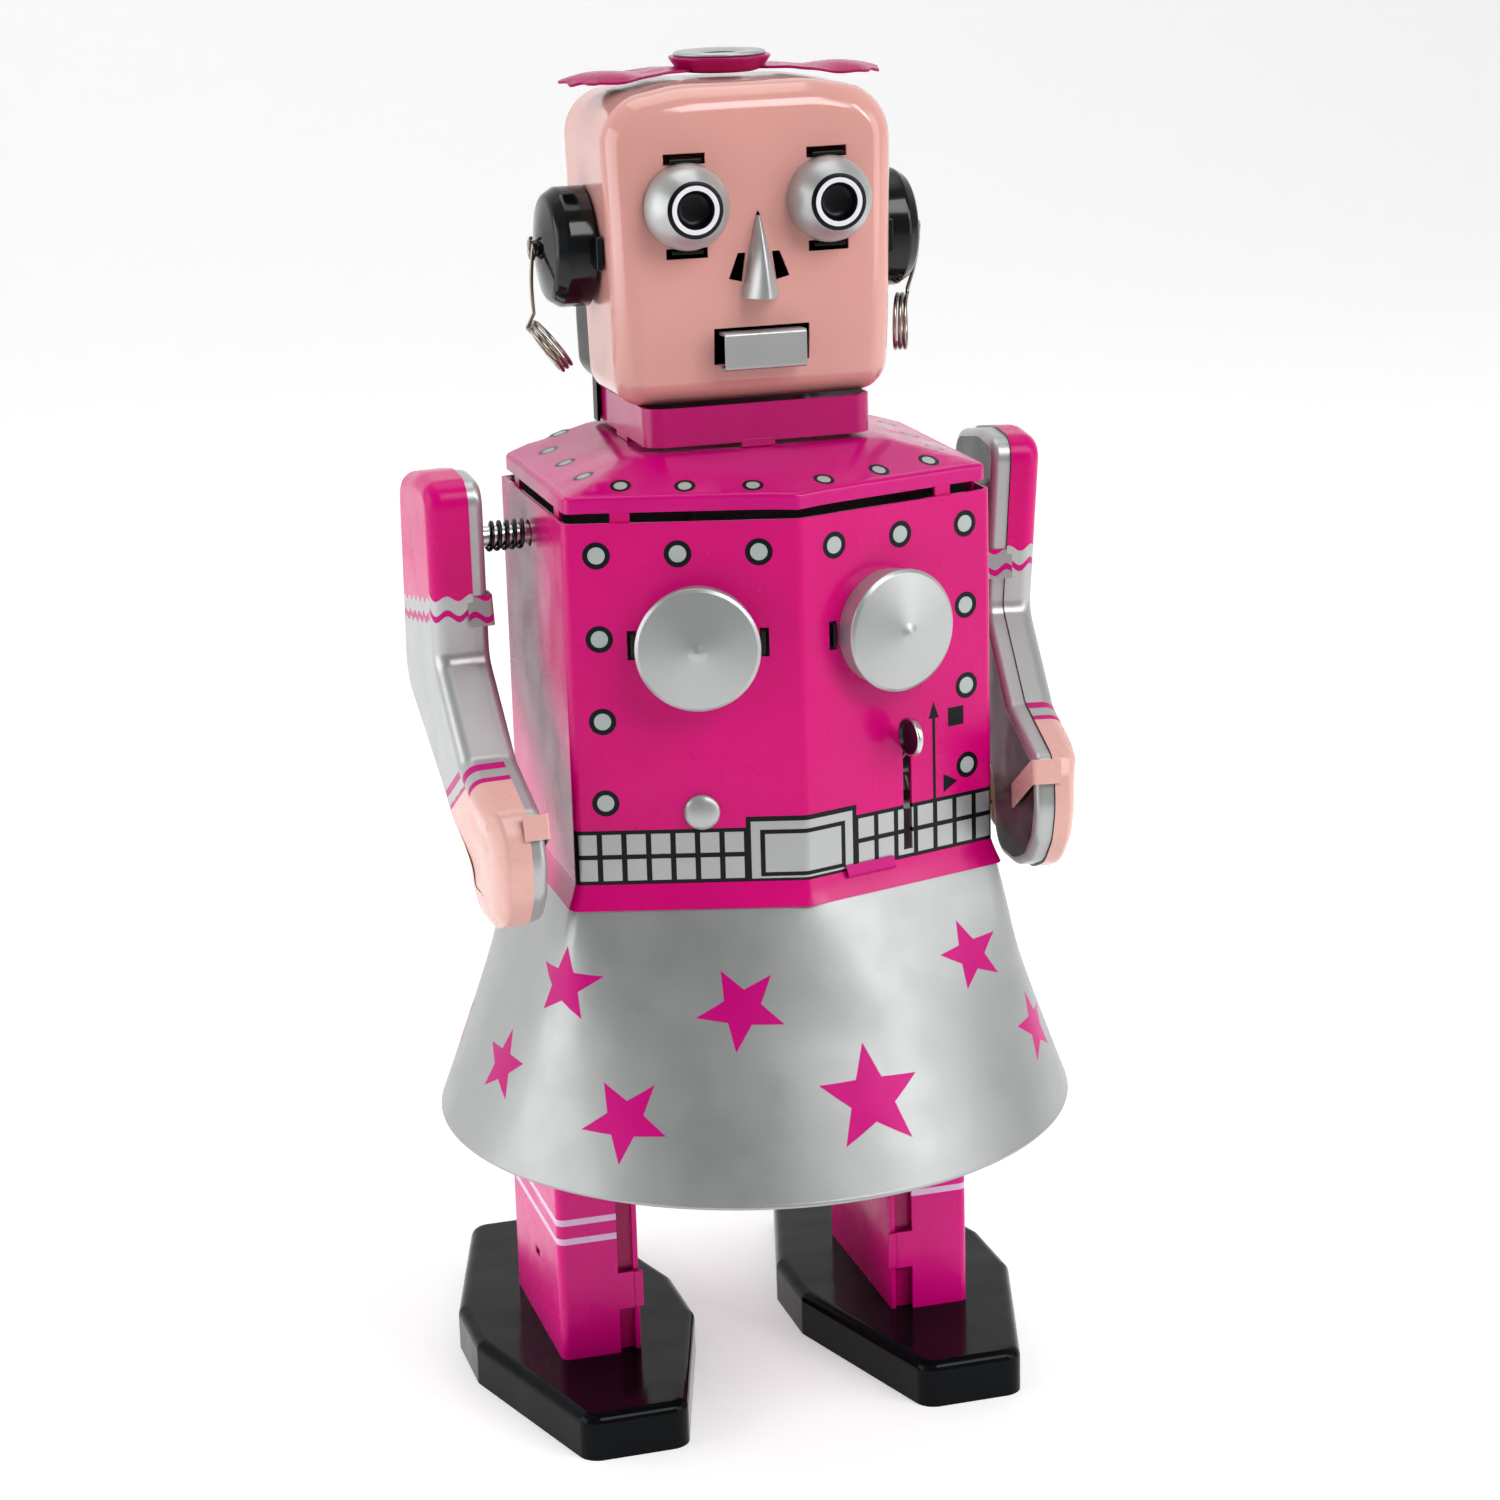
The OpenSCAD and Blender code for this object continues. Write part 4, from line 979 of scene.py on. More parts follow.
def back_wall(u, v):
    """The back of the head: v runs in millimetres from the seam to the rounded rear edge."""
    bend = np.clip((v - BACK_RUN) / BACK_R, 0, None)
    flat = HEAD.inset(u, BACK_INSET + BACK_R * (1 - np.cos(bend)))
    depth = SEAM_Y - 2 + np.minimum(v, BACK_RUN) + BACK_R * np.sin(bend)
    return np.column_stack([flat[:, 0], depth, flat[:, 1]])


def hair_line(s, total):
    """How far back from the seam the hair's edge crosses the head at one place on its outline."""
    v = np.linspace(0, total, 240)
    points = back_wall(np.full_like(v, s), v)
    above = points[:, 2] - HAIR_Z - HAIR_SLOPE * (points[:, 1] - HAIR_Y) > 0
    if above.all():
        return total
    if not above.any():
        return 0.0
    return float(v[np.argmin(above)]) if above[0] else float(v[np.argmax(above)])


def head_back():
    """The back pressing above the hair line, and the black hair below it."""
    total = BACK_RUN + BACK_R * math.pi / 2
    stops = np.array(HEAD_STOPS)
    count = len(stops)
    split = np.array([hair_line(s, total) for s in stops])
    rows = np.linspace(0, 1, 12)
    plate_z = HAIR_Z + HAIR_SLOPE * (HEAD_BACK - HAIR_Y)
    plate = [tuple(p) for p in HEAD.inset(stops, BACK_INSET + BACK_R)]
    below = [("below", rectangle(-30, 30, 100, plate_z))]
    for name, ink, node, start, end, wanted in (
            ("head_back_enamel", "skin", "head_back_shell", np.zeros(count), split, "above"),
            ("hair_back_enamel", "hair", "hair_back", np.maximum(split, 2.0), np.full(count, total),
             "below")):
        shape = Shape()
        end = np.maximum(end, start)
        v = (start[None, :] + (end - start)[None, :] * rows[:, None]).ravel()
        points, normals = measure(back_wall, np.tile(stops, len(rows)), v, INSIDE_HEAD)
        faces = []
        for a, b, c, d in grid_faces(len(rows), count, True):
            if max(np.linalg.norm(points[a] - points[d]), np.linalg.norm(points[b] - points[c])) > 1e-4:
                faces.append((a, b, c, d))
        shape.add(points, normals, turned(points, normals, faces), [ink] * len(faces))
        u, v, triangles, parts = cut(plate, "above", below, (), [[(-30, plate_z), (30, plate_z)]])
        triangles = [t for t, part in zip(triangles, parts) if part == wanted]
        used, packed = np.unique(np.array(triangles), return_inverse=True)
        flat = np.column_stack([u[used], np.full(len(used), HEAD_BACK), v[used]])
        facing = np.tile([0.0, 1.0, 0.0], (len(used), 1))
        shape.add(flat, facing, turned(flat, facing, packed.reshape(-1, 3).tolist()), [ink] * len(triangles))
        if node == "hair_back":
            nape(shape)
        shape.make(name, "body", (node,))


def nape(shape):
    """The black panel behind the neck."""
    half, back_y, front_y = 17.7, 16.1, 10.5
    fold = Fold([(half, front_y), (half, back_y), (-half, back_y), (-half, front_y)], [0, 3.6, 3.6, 0])
    grid(shape, upright(fold), fold.stops(4.0, 6), [149.7, 152.0, 154.5, 156.3], "hair", (0, 2, 152),
         thick=0.45, back="black")


def neck_collar():
    low, high = box_mm("neck_collar")
    half, front_y, back_y = high.x, low.y, high.y
    fold = Fold([(half, front_y), (half, back_y), (-half, back_y), (-half, front_y)], 3.0, closed=True)
    wall_z = low.z + 0.8

    def surface(u, v):
        return np.column_stack([fold.inset(u, 0.05), v])

    shape = Shape()
    grid(shape, surface, fold.stops(3.0, 8), levels(wall_z, high.z, 1.1), "collar", (0, 0, 152), closed=True,
         thick=TIN)
    for x0, x1, y0, y1 in ((-3, 2, front_y, front_y + TIN), (-3, 2, back_y - TIN, back_y),
                           (-half, -half + TIN, -4, 2), (half - TIN, half, -4, 2)):
        slab(shape, (x0, y0, low.z), (x1, y1, wall_z + 0.4), "collar")
    shape.make("neck_collar_formed", "body", ("neck_collar",))


def eye(side, name, node):
    """A silver cup with a printed ring and a dark pressed middle."""
    profile = [(6.1, 0.0), (6.1, 0.7), (6.05, 1.3), (5.9, 2.1), (5.62, 2.9), (5.2, 3.7), (4.7, 4.35),
               (4.25, 4.85), (4.1, 5.0), (4.02, 5.1), (3.7, 5.2), (3.42, 5.26), (3.4, 5.26), (3.05, 5.28),
               (2.72, 5.24), (2.6, 5.1), (2.48, 4.6), (2.44, 3.7), (1.6, 3.5), (0.8, 3.42), (0.02, 3.4)]
    inks = ["silver"] * 9 + ["black"] * 3 + ["white"] * 2 + ["black"] * 6
    shape = Shape()
    x = side * EYE_X
    lathe(shape, profile, (x, FACE_Y + 0.15, EYE_Z), (0, -1, 0), lambda row: inks[row])
    # the tabs are black as painted shade in their slots
    for z in (EYE_Z - 6.35, EYE_Z + 6.35):
        slab(shape, (x - 2.3, FACE_Y - 0.5, z - 0.25), (x + 2.3, FACE_Y + 0.4, z + 0.25), "gloss_black")
    shape.make(name, "body", (node,))


def nose():
    """A folded silver wedge with a sharp ridge."""
    tip_z, low_z = 183.0, 170.7
    rows = np.linspace(0, 1, 14)
    half = 2.75 * rows ** 0.85
    out = 4.3 * (1 - (1 - rows) ** 1.7) ** 0.9

    def surface(u, v):
        x = np.sin(u * math.pi / 2) * np.interp(v, rows, half)
        y = -np.interp(v, rows, out) * (1 - np.abs(u) ** 1.5)
        return np.column_stack([x, FACE_Y + 0.15 + y, tip_z + (low_z - tip_z) * v])

    shape = Shape()
    grid(shape, surface, np.linspace(-1, 1, 25), rows, "silver", (0, -14, 175), thick=0.35)
    shape.make("nose_folded", "body", ("nose",))


def mouth():
    """A bent silver strip that stands out of its slot."""
    low, high = box_mm("mouth")
    corners = [(FACE_Y + 0.8, high.z - 0.25), (low.y, high.z - 0.05), (low.y, low.z),
               (FACE_Y - 0.1, low.z + 0.05)]
    fold = Fold(corners, [0, 0.55, 0.55, 0])

    def surface(u, v):
        return np.column_stack([u, fold.at(v)])

    shape = Shape()
    grid(shape, surface, levels(-6.0, 6.0, 1.5), fold.stops(1.2, 6), "silver", (0, FACE_Y + 2, 163),
         thick=0.45)
    shape.make("mouth_bent", "body", ("mouth",))


def ear(side, name, node):
    """A black pressed cap on the side of the head."""
    corners = [(8.6, 0.0), (8.6, 3.9), (7.5, 5.6), (3.4, 6.5), (1.3, 6.8), (1.05, 7.8), (0.02, 8.0)]
    profile = smooth_profile(corners, [0, 1.2, 1.4, 1.0, 0.2, 0.25, 0], 5)
    shape = Shape()
    lathe(shape, profile, (side * (HEAD_W + 0.05), 0.0, EAR_Z), (side, 0, 0), "gloss_black", 72)
    slab(shape, (side * (HEAD_W - 0.35), -10.7, EAR_Z - 2.4), (side * (HEAD_W + 0.65), -8.0, EAR_Z + 2.4),
         "gloss_black", bevel=0.3)
    shape.make(name, "body", (node,))


def earring(side, name, node):
    """A thin wire that hooks round the ear's boss and ends in a small coil."""
    hook_x = HEAD_W + 7.6
    coil_x, coil_y, coil_z, coil_r = HEAD_W + 6.1, -2.0, 163.4, 4.0
    turns = 2.6
    if side < 0:
        # this coil leans out from the head
        tilt = math.radians(35)
        along = np.array([math.cos(tilt), 0.0, -math.sin(tilt)])
        across = np.array([math.sin(tilt), 0.0, math.cos(tilt)])
        forward = np.array([0.0, -1.0, 0.0])
        end = np.array([coil_x + 1.9, coil_y, coil_z + 3.7])
    else:
        # this one hangs straight down and has turned a little on its hook
        along = np.array([0.92, -0.39, 0.0])
        across = np.array([0.0, 0.0, 1.0])
        forward = np.array([-0.39, -0.92, 0.0])
        end = np.array([coil_x - 1.0, coil_y, coil_z + 3.7])
        coil_x -= 1.6
    path = []
    for i in range(22):
        a = math.radians(90 - 300 * i / 21)
        path.append(np.array([hook_x, 1.5 * math.cos(a), EAR_Z + 1.5 * math.sin(a)]))
    start = path[-1]
    for t in (i / 9 for i in range(1, 9)):
        sag = np.array([0.5, -0.4, 0.0]) * math.sin(math.pi * t)
        path.append(start + (end - start) * t + sag)
    centre = np.array([coil_x, coil_y, coil_z])
    for i in range(int(36 * turns) + 1):
        a = 2 * math.pi * i / 36
        lift = (i / (36 * turns) - 0.5) * 1.9
        path.append(centre + coil_r * (math.cos(a) * across + math.sin(a) * forward) - lift * along)
    shape = Shape()
    tube(shape, np.array(path) * np.array([side, 1, 1]), 0.3, "ring_wire", 8)
    shape.make(name, "body", (node,))


BOW_END = 17.4


def bow_outline():
    """One petal of the bow, as a closed outline that points to +x, with a scalloped end."""
    edge = []
    for i in range(13):
        t = i / 12
        edge.append((5.0 + 12.5 * t, 3.6 + 2.4 * math.sin(math.pi * min(t * 1.1, 1.0) * 0.5)))
    points = [(x, -y) for x, y in edge]
    for middle in (-62, -31, 0, 31, 62):
        for j in range(7):
            a = math.radians(middle - 15.5 + 31 * j / 6)
            r = 6.5 - 0.55 * math.cos(math.pi * j / 6) ** 2
            points.append((BOW_END + r * math.cos(a), r * math.sin(a) * 1.02))
    return points + edge[::-1]


def hair_bow():
    """Two fluted petals, a cup between them, and the ring button in the cup."""
    low, high = box_mm("hair_bow")
    centre_y = (low.y + high.y) / 2
    base = 201.2
    button_z = 203.12
    shape = Shape()
    lines = cross_lines(levels(6, 23, 1.2), levels(-6, 6, 1.2), 0, 26, -10, 10)
    for side in (-1, 1):
        def surface(u, v, side=side):
            far = np.hypot(u - BOW_END, v * 1.02) / 6.5
            dome = 1.25 * np.clip(far, 0, 1) ** 2.2 * np.clip((u - 9) / 7, 0, 1)
            flute = 0.12 * np.cos(np.arctan2(v, u - BOW_END) * 5.8) * np.clip(far * 2 - 1, 0, 1)
            return np.column_stack([side * u, centre_y + v, base + 0.4 - dome + flute])

        panel(shape, surface, bow_outline(), "bow", (), (), lines, (0, centre_y, 150), 0.4, "black")
    cup = smooth_profile([(3.3, -0.35), (5.2, -0.35), (6.2, 0.0), (7.35, 1.55), (7.35, 1.9), (6.7, 1.9),
                          (3.4, 1.3), (3.3, -0.3)], [0, 0.4, 0.6, 0.4, 0.15, 0.3, 0.3, 0])
    lathe(shape, cup, (0, centre_y, base), (0, 0, 1), "bow", 64, (0, 1, 0))
    shape.make("hair_bow_petals", "body", ("hair_bow",))
    button = Shape()
    ring = smooth_profile([(3.0, 0.2), (4.1, 0.55), (6.3, 0.62), (6.85, 0.3), (6.5, 0.02), (3.9, 0.02)],
                          [0, 0.4, 0.3, 0.2, 0.15, 0])
    hollow = [(3.1, 0.2), (2.4, -1.6), (0.02, -1.9)]
    lathe(button, ring, (0, centre_y, button_z), (0, 0, 1), "silver", 64, (0, 1, 0))
    lathe(button, hollow, (0, centre_y, button_z), (0, 0, 1), "black", 48, (0, 1, 0))
    button.make("bow_button_ring", "body", ("bow_button",))


# ---------------------------------------------------------------- front fittings

def dial(side, name, node):
    """A spun silver disc with a rolled edge and a pointed middle."""
    facet = facet_frame(side, DIAL_X, DIAL_Z)
    corners = [(8.4, 0.05), (8.4, 3.0), (8.85, 3.25), (8.88, 3.75), (8.35, 4.15), (6.0, 4.62), (1.4, 5.5),
               (0.5, 5.85), (0.02, 5.95)]
    profile = smooth_profile(corners, [0, 0.25, 0.25, 0.3, 0.5, 2.0, 1.2, 0.3, 0], 5)
    shape = Shape()
    lathe(shape, profile, spot(facet, (0, 0, 0)), spot(facet, (0, 0, 1), True), "silver", 96)
    for x in (-9.15, 9.15):
        slab(shape, (x - 0.35, -1.7, -0.5), (x + 0.35, 1.7, 0.45), "gloss_black", facet)
    shape.make(name, "body", (node,))


def belt_rivet():
    """The domed rivet above the belt."""
    facet = facet_frame(-1, 14.2, 99.6)
    radius = 2.58
    dome = [(radius, 0.03)]
    for i in range(10):
        a = math.pi / 20 * i
        dome.append((radius * math.cos(a), 0.3 + 0.95 * math.sin(a)))
    dome.append((0.02, 1.25))
    shape = Shape()
    lathe(shape, dome, spot(facet, (0, 0, 0)), spot(facet, (0, 0, 1), True), "silver", 48)
    shape.make("belt_rivet_dome", "body", ("belt_rivet",))


def lever_knob():
    """A dished steel disc on the end of the stop lever, dark in the middle."""
    low, high = box_mm("lever_knob")
    centre = ((low.x + high.x) / 2 + 0.75, (low.y + high.y) / 2, (low.z + high.z) / 2)
    turn = math.radians(14)
    rim = smooth_profile([(0.02, 0.1), (2.3, 0.1), (2.85, 0.5), (2.85, 1.15), (2.5, 1.32), (1.9, 0.95),
                          (0.02, 0.7)], [0, 0.3, 0.25, 0.2, 0.2, 0.5, 0])
    steel_rows = 17
    shape = Shape()
    lathe(shape, rim, centre, (-math.cos(turn), -math.sin(turn), 0),
          lambda row: "steel" if row < steel_rows else "gloss_black", 48)
    shape.make("lever_knob_disc", "lever", ("lever_knob",))


# ---------------------------------------------------------------- arms

# corners of the arm's outline as (forwards, up, radius of the corner), from the shoulder pin
ARM_CORNERS = [(6.8, 9.4, 3.6), (-3.0, 9.9, 14.0), (-16.0, 7.6, 5.2), (-17.4, 2.0, 8.0), (-20.6, -14.0, 20.0),
               (-22.6, -22.6, 6.0), (-20.6, -27.0, 4.0), (2.0, -38.0, 5.0), (8.6, -42.6, 3.0),
               (10.2, -53.0, 6.0), (22.0, -52.4, 12.0), (28.2, -49.8, 7.0), (32.0, -45.4, 5.0),
               (33.3, -40.4, 8.0), (32.6, -36.0, 6.0), (30.6, -32.6, 2.6), (22.5, -30.2, 10.0),
               (16.5, -28.4, 2.5), (3.5, -16.9, 2.5)]
ARM = Fold([(f, h) for f, h, _ in ARM_CORNERS], [r for _, _, r in ARM_CORNERS], closed=True)
ARM_STOPS = ARM.stops(1.1, 5)


def arm_depths(side):
    """Depth of the inner pressing and of the whole arm; the left arm is pressed together further."""
    return (2.75, ARM_THICK - 0.8) if side > 0 else (TRAY, ARM_THICK)


def arm_frame(side):
    """Maps (outwards, forwards, up) in the arm to the row frame. The left arm toes in a little."""
    toe_in = Matrix.Rotation(-LEFT_TOE_IN if side > 0 else 0.0, 3, "Z")
    turn = np.array(toe_in @ Matrix.Rotation(side * ARM_LEAN, 3, "Y"))
    axes = np.array([turn @ axis for axis in np.array([[side, 0, 0], [0, -1, 0], [0, 0, 1]], float)])
    origin = np.array([side * SHOULDER[0] - ROD_SHIFT, SHOULDER[1], SHOULDER[2]])

    def place_at(points, direction=False):
        moved = points @ axes
        return moved if direction else moved + origin

    return place_at


WAVE = 3.6
ARM_EDGE_R = 2.3
CUFF_SLOPE = 0.53
# each printed stripe of the cuff, from its lower to its upper edge
CUFF_STRIPES = ((-0.65, 0.65), (-3.2, -2.3))


def sleeve_line(f):
    """Height of the sleeve's lower edge across the arm."""
    return -8.4 + 0.178 * f


def cuff_line(f, side):
    """Height of the cuff across the arm."""
    return -38.4 + CUFF_SLOPE * f + CUFF_SLOPE * 0.9 * side


def ripple(x, size, shift=0.0):
    """The wavy edge of a print."""
    return size * np.sin(2 * math.pi * x / WAVE + shift)


def band(line, low, high, wave, f0, f1):
    """A printed band that follows a line across the arm; its edges may be wavy."""
    xs = np.linspace(f0, f1, 61)
    middle = line(xs) + ripple(xs, wave)
    return [*zip(xs, middle + high), *zip(xs[::-1], (middle + low)[::-1])]


def arm_prints(side):
    """Prints of an arm in (forwards, up): sleeve, zigzag, cuff stripes and hand."""
    def cuff(f):
        return cuff_line(f, side)

    xs = np.linspace(-40, 40, 161)
    sleeve = [*zip(xs, sleeve_line(xs) + ripple(xs, 0.45)), (40, 60), (-40, 60)]
    prints = [("sleeve", sleeve), ("star", band(sleeve_line, -3.2, -2.1, 0.55, -40, 40))]
    prints += [("star", band(cuff, low, high, wave, -10, 30))
               for (low, high), wave in zip(CUFF_STRIPES, (0.0, 0.12))]
    return prints + [("hand", [(-30, cuff(-30) - 3.0), (60, cuff(60) - 3.0), (60, -90), (-30, -90)])]


def wall_prints(depth, side):
    """The same prints round the arm's side walls, in (outline place, depth)."""
    fine = np.linspace(0, ARM.total, 4001)[:-1]
    path = ARM.at(fine)
    low, high = -1.0, depth + 1.0
    rows = np.linspace(low, high, 40)

    def crossings(value):
        signs = np.sign(value)
        return [float(fine[i]) for i in np.nonzero(signs[:-1] * signs[1:] < 0)[0]]

    # the sleeve's edge crosses the outline at the back of the arm and at its front
    rear, front = crossings(path[:, 1] - sleeve_line(path[:, 0]))
    edge = ripple(rows, 0.45, 1.0)
    prints = [("sleeve", [(-5.0, low), (-5.0, high), *zip((rear - edge)[::-1], rows[::-1])]),
              ("sleeve", [*zip(front + edge, rows), (ARM.total + 5.0, high), (ARM.total + 5.0, low)])]
    zigzag = ripple(rows, 0.55, 1.0)
    for middle in (front - 2.65, rear + 2.65):
        prints.append(("star", [*zip(middle - 0.5 + zigzag, rows),
                                *zip((middle + 0.5 + zigzag)[::-1], rows[::-1])]))
    cuff = path[:, 1] - cuff_line(path[:, 0], side)
    marks = crossings(cuff + 3.0)
    prints.append(("hand", rectangle(min(marks), max(marks), low, high)))
    for bottom, top in CUFF_STRIPES:
        for a, b in zip(crossings(cuff - top), crossings(cuff - bottom)):
            prints.append(("star", rectangle(min(a, b), max(a, b), low, high)))
    return prints


def handness(f, h):
    """0 on the arm, rising to 1 over the hand."""
    below = np.clip((-37.0 - (h - 0.45 * (f - 12.0))) / 10.0, 0, 1)
    return below * below * (3 - 2 * below)


def edge_inset(u):
    """How far the rounded edge reaches in: wider round the hand."""
    path = ARM.at(u)
    return ARM_EDGE_R + 2.6 * handness(path[:, 0], path[:, 1])


def knuckles(f, h):
    """Shallow dimples pressed into the back of the hand."""
    relief = np.zeros_like(f)
    for x, y, r in ((17.0, -33.5, 2.4), (22.0, -35.5, 2.2), (26.5, -38.0, 2.0), (15.5, -44.0, 3.6)):
        relief += np.exp(-((f - x) ** 2 + (h - y) ** 2) / (r * r))
    return relief * np.clip(handness(f, h) * 6, 0, 1)


def arm_lines(step):
    """Cutting lines for the flat of an arm."""
    return cross_lines(levels(-22, 34, step), levels(-54, 10, step), -30, 40, -60, 20)


def arm_outer(side, name, node, body):
    """The printed outer pressing of an arm, with its sleeve tab and thumb."""
    at = arm_frame(side)
    tray_depth, thick = arm_depths(side)
    inner_x = tray_depth + 0.05
    depth = thick - inner_x - ARM_EDGE_R
    arc = ARM_EDGE_R * math.pi / 2
    inside = spot(at, (4, 0, -20))

    def thinned(x, f, h):
        """The hand is pressed less deep than the arm."""
        return inner_x + (x - inner_x) * (1 - 0.2 * handness(f, h))

    def wall(u, v):
        """v runs from the open edge outwards, then round on to the outer face."""
        bend = np.clip((v - depth) / ARM_EDGE_R, 0, None)
        flat = ARM.inset(u, edge_inset(u) * (1 - np.cos(bend)))
        x = inner_x + np.minimum(v, depth) + ARM_EDGE_R * np.sin(bend)
        return at(np.column_stack([thinned(x, flat[:, 0], flat[:, 1]), flat]))

    def face(u, v):
        x = thinned(np.full_like(u, thick), u, v) - 0.3 * knuckles(u, v)
        return at(np.column_stack([x, u, v]))

    def open_edge(u, v):
        return at(np.column_stack([np.full_like(u, inner_x + 0.02), ARM.inset(u, v)]))

    shape = Shape()
    rows = levels(0, depth, 1.3) + [depth + arc * i / 7 for i in range(1, 8)]
    lines = cross_lines(ARM_STOPS[1:], rows[1:-1], -1, ARM.total + 1, -1, depth + arc + 1)
    panel(shape, wall, rectangle(0, ARM.total, 0, depth + arc), "silver", wall_prints(depth + arc, side), (),
          lines, inside, thick=0)
    stops = np.array(ARM_STOPS)
    edge = [tuple(p) for p in ARM.inset(stops, edge_inset(stops))]
    panel(shape, face, edge, "silver", arm_prints(side), (), arm_lines(1.4), inside, thick=0)
    grid(shape, open_edge, ARM_STOPS, [0.0, TIN], "bare", spot(at, (9, 0, -20)), closed=True)
    wrap_tab(shape, at, tray_depth, -9.75, 4.53, 8.2, 0.0, 0.32, (-2.3, 2.1), 3.0, "silver",
             sleeve_tab_prints)
    wrap_tab(shape, at, tray_depth, -34.6, 32.4, 8.0, 32.0, 0.5, (-1.8, 1.8), 10.5, "hand")
    shape.make(name, body, (node,))


def sleeve_tab_prints(total):
    """The sleeve's wavy edge and its zigzag, on the tab."""
    steps = np.array([total * i / 24 for i in range(-1, 26)])
    edge = [*zip(steps, 1.7 + ripple(steps, 0.4)), (total + 1, 9), (-1, 9)]
    upper = -0.5 + ripple(steps, 0.5)
    return [("sleeve", edge), ("star", [*zip(steps, upper), *zip(steps[::-1], (upper - 0.95)[::-1])])]


def wrap_tab(shape, at, tray_depth, up, forward, turn, droop, proud, ends, reach, ink, prints=None):
    """A tab of the outer pressing that wraps round on to the inner one. It is turned in the plane of
    the arm, drops as it reaches back, and stands proud of the arm's edge."""
    path = Fold([(tray_depth + 0.9, proud - 0.1), (-0.65, proud), (-0.65, -reach)], [0, 0.55, 0])
    cos, sin = math.cos(math.radians(turn)), math.sin(math.radians(turn))
    fall = math.tan(math.radians(droop))

    def surface(u, v):
        x, back = path.at(u).T
        drop = np.clip(-back, 0, None) * fall
        return at(np.column_stack([x, forward + back * cos - v * sin, up + v * cos - drop]))

    panel(shape, surface, rectangle(0, path.total, *ends), ink, prints(path.total) if prints else (), (),
          strip_lines(path, *ends, 1.5, 5, 0.7), spot(at, (1.5, forward - 3.0, up)), thick=0.28, back=ink)


def arm_inner(side, name, node, body):
    """The tray that closes the inner side of an arm; its bare tin floor is painted near black as a painted
    reflection of dark surroundings.
    """
    at = arm_frame(side)
    inset = 0.35
    radius = 1.2
    arc = radius * math.pi / 2
    tray_depth = arm_depths(side)[0]
    depth = tray_depth - radius
    inside = spot(at, (2, 0, -20))

    def wall(u, v):
        bend = np.clip((v - depth) / radius, 0, None)
        flat = ARM.inset(u, inset + radius * (1 - np.cos(bend)))
        x = tray_depth - np.minimum(v, depth) - radius * np.sin(bend)
        return at(np.column_stack([x, flat]))

    def floor(u, v):
        return at(np.column_stack([np.zeros_like(u), u, v]))

    def open_edge(u, v):
        return at(np.column_stack([np.full_like(u, tray_depth), ARM.inset(u, inset + v)]))

    shape = Shape()
    grid(shape, wall, ARM_STOPS, [0, depth] + [depth + arc * i / 5 for i in range(1, 6)], "silver", inside,
         closed=True)
    edge = [tuple(p) for p in ARM.inset(np.array(ARM_STOPS), inset + radius)]
    # the floor's near-black ink is a painted reflection
    panel(shape, floor, edge, "tray", (), [disc(0, 0, 1.6, 24)], arm_lines(4.0), inside, thick=0)
    grid(shape, open_edge, ARM_STOPS, [0.0, TIN], "bare", spot(at, (-4, 0, -20)), closed=True)
    shape.make(name, body, (node,))


def shoulder_pin(side, name, node, body):
    """A turned rod with a head inside the torso and one outside the arm's tray."""
    profile = smooth_profile([(0.02, 29.9), (3.2, 29.9), (3.2, 30.7), (1.5, 30.7), (1.5, 39.5), (2.6, 39.5),
                              (2.6, 40.3), (1.5, 40.7), (0.02, 40.7)], [0, .2, .2, .1, .1, .2, .3, .2, 0], 3)
    shape = Shape()
    lathe(shape, profile, (0, *SHOULDER[1:]), (side, 0, 0), "steel", 40)
    shape.make(name, body, (node,))


def shoulder_spring(side, name, node, body):
    """An open coil of dark wire between the torso and the arm."""
    coil_r = 1.98
    x0, x1 = HALF_W + 0.75, SHOULDER[0] - 0.75
    per_turn = 28
    steps = 5 * per_turn
    path = []
    for i in range(steps + 1):
        a = 2 * math.pi * i / per_turn
        x = x0 + (x1 - x0) * i / steps
        path.append((side * x, SHOULDER[1] + coil_r * math.cos(a), SHOULDER[2] + coil_r * math.sin(a)))
    shape = Shape()
    tube(shape, path, 0.3, "wire")
    shape.make(name, body, (node,))


# ---------------------------------------------------------------- legs and feet

def leg_shell(side, name, node, body):
    """The outer channel of a leg, with a tab, and a recessed lip in the gap at its front whose darker ink is
    painted shade.
    """
    low, high = box_mm(node)
    outer, inner, lip = 33.1, 21.3, 2.6
    tab_low, tab_high = 14.4, 20.4
    fold = Fold([(inner, low.y), (outer, low.y), (outer, high.y), (inner, high.y)], [0, 1.3, 1.3, 0])
    stripes = [("stripe", rectangle(1.4, fold.marks[2] - 2.0, z, z + 1.0)) for z in (29.35, 26.25)]
    outline = [(0, tab_low), (lip, tab_low), (lip, low.z), (fold.total, low.z), (fold.total, high.z),
               (lip, high.z), (lip, tab_high), (0, tab_high)]
    slot = fold.marks[1] + (8.5 - low.y)
    holes = [rectangle(slot - 1.5, slot + 1.5, 18.6, 20.0)]

    def surface(u, v):
        flat = fold.at(u)
        return np.column_stack([side * flat[:, 0], flat[:, 1], v])

    shape = Shape()
    panel(shape, surface, outline, "magenta_leg", stripes, holes,
          strip_lines(fold, low.z, high.z, 4.0, 6, 5.0), (side * 26, 9, 28), back="magenta_leg")
    # the lip in the front gap uses the darker bow ink as painted shade
    recess = low.y + 1.3
    for x0, x1, y0, y1, z0, z1, ink in (
            (19.95, 21.5, low.y, low.y + TIN, tab_low + 0.05, tab_high - 0.05, "magenta_leg"),
            (31.2, 32.4, 7.1, 9.9, 18.7, 19.4, "bare"),
            (20.6, 24.8, recess, recess + TIN, low.z, high.z, "bow")):
        slab(shape, (side * x0, y0, z0), (side * x1, y1, z1), ink)
    shape.make(name, body, (node,))


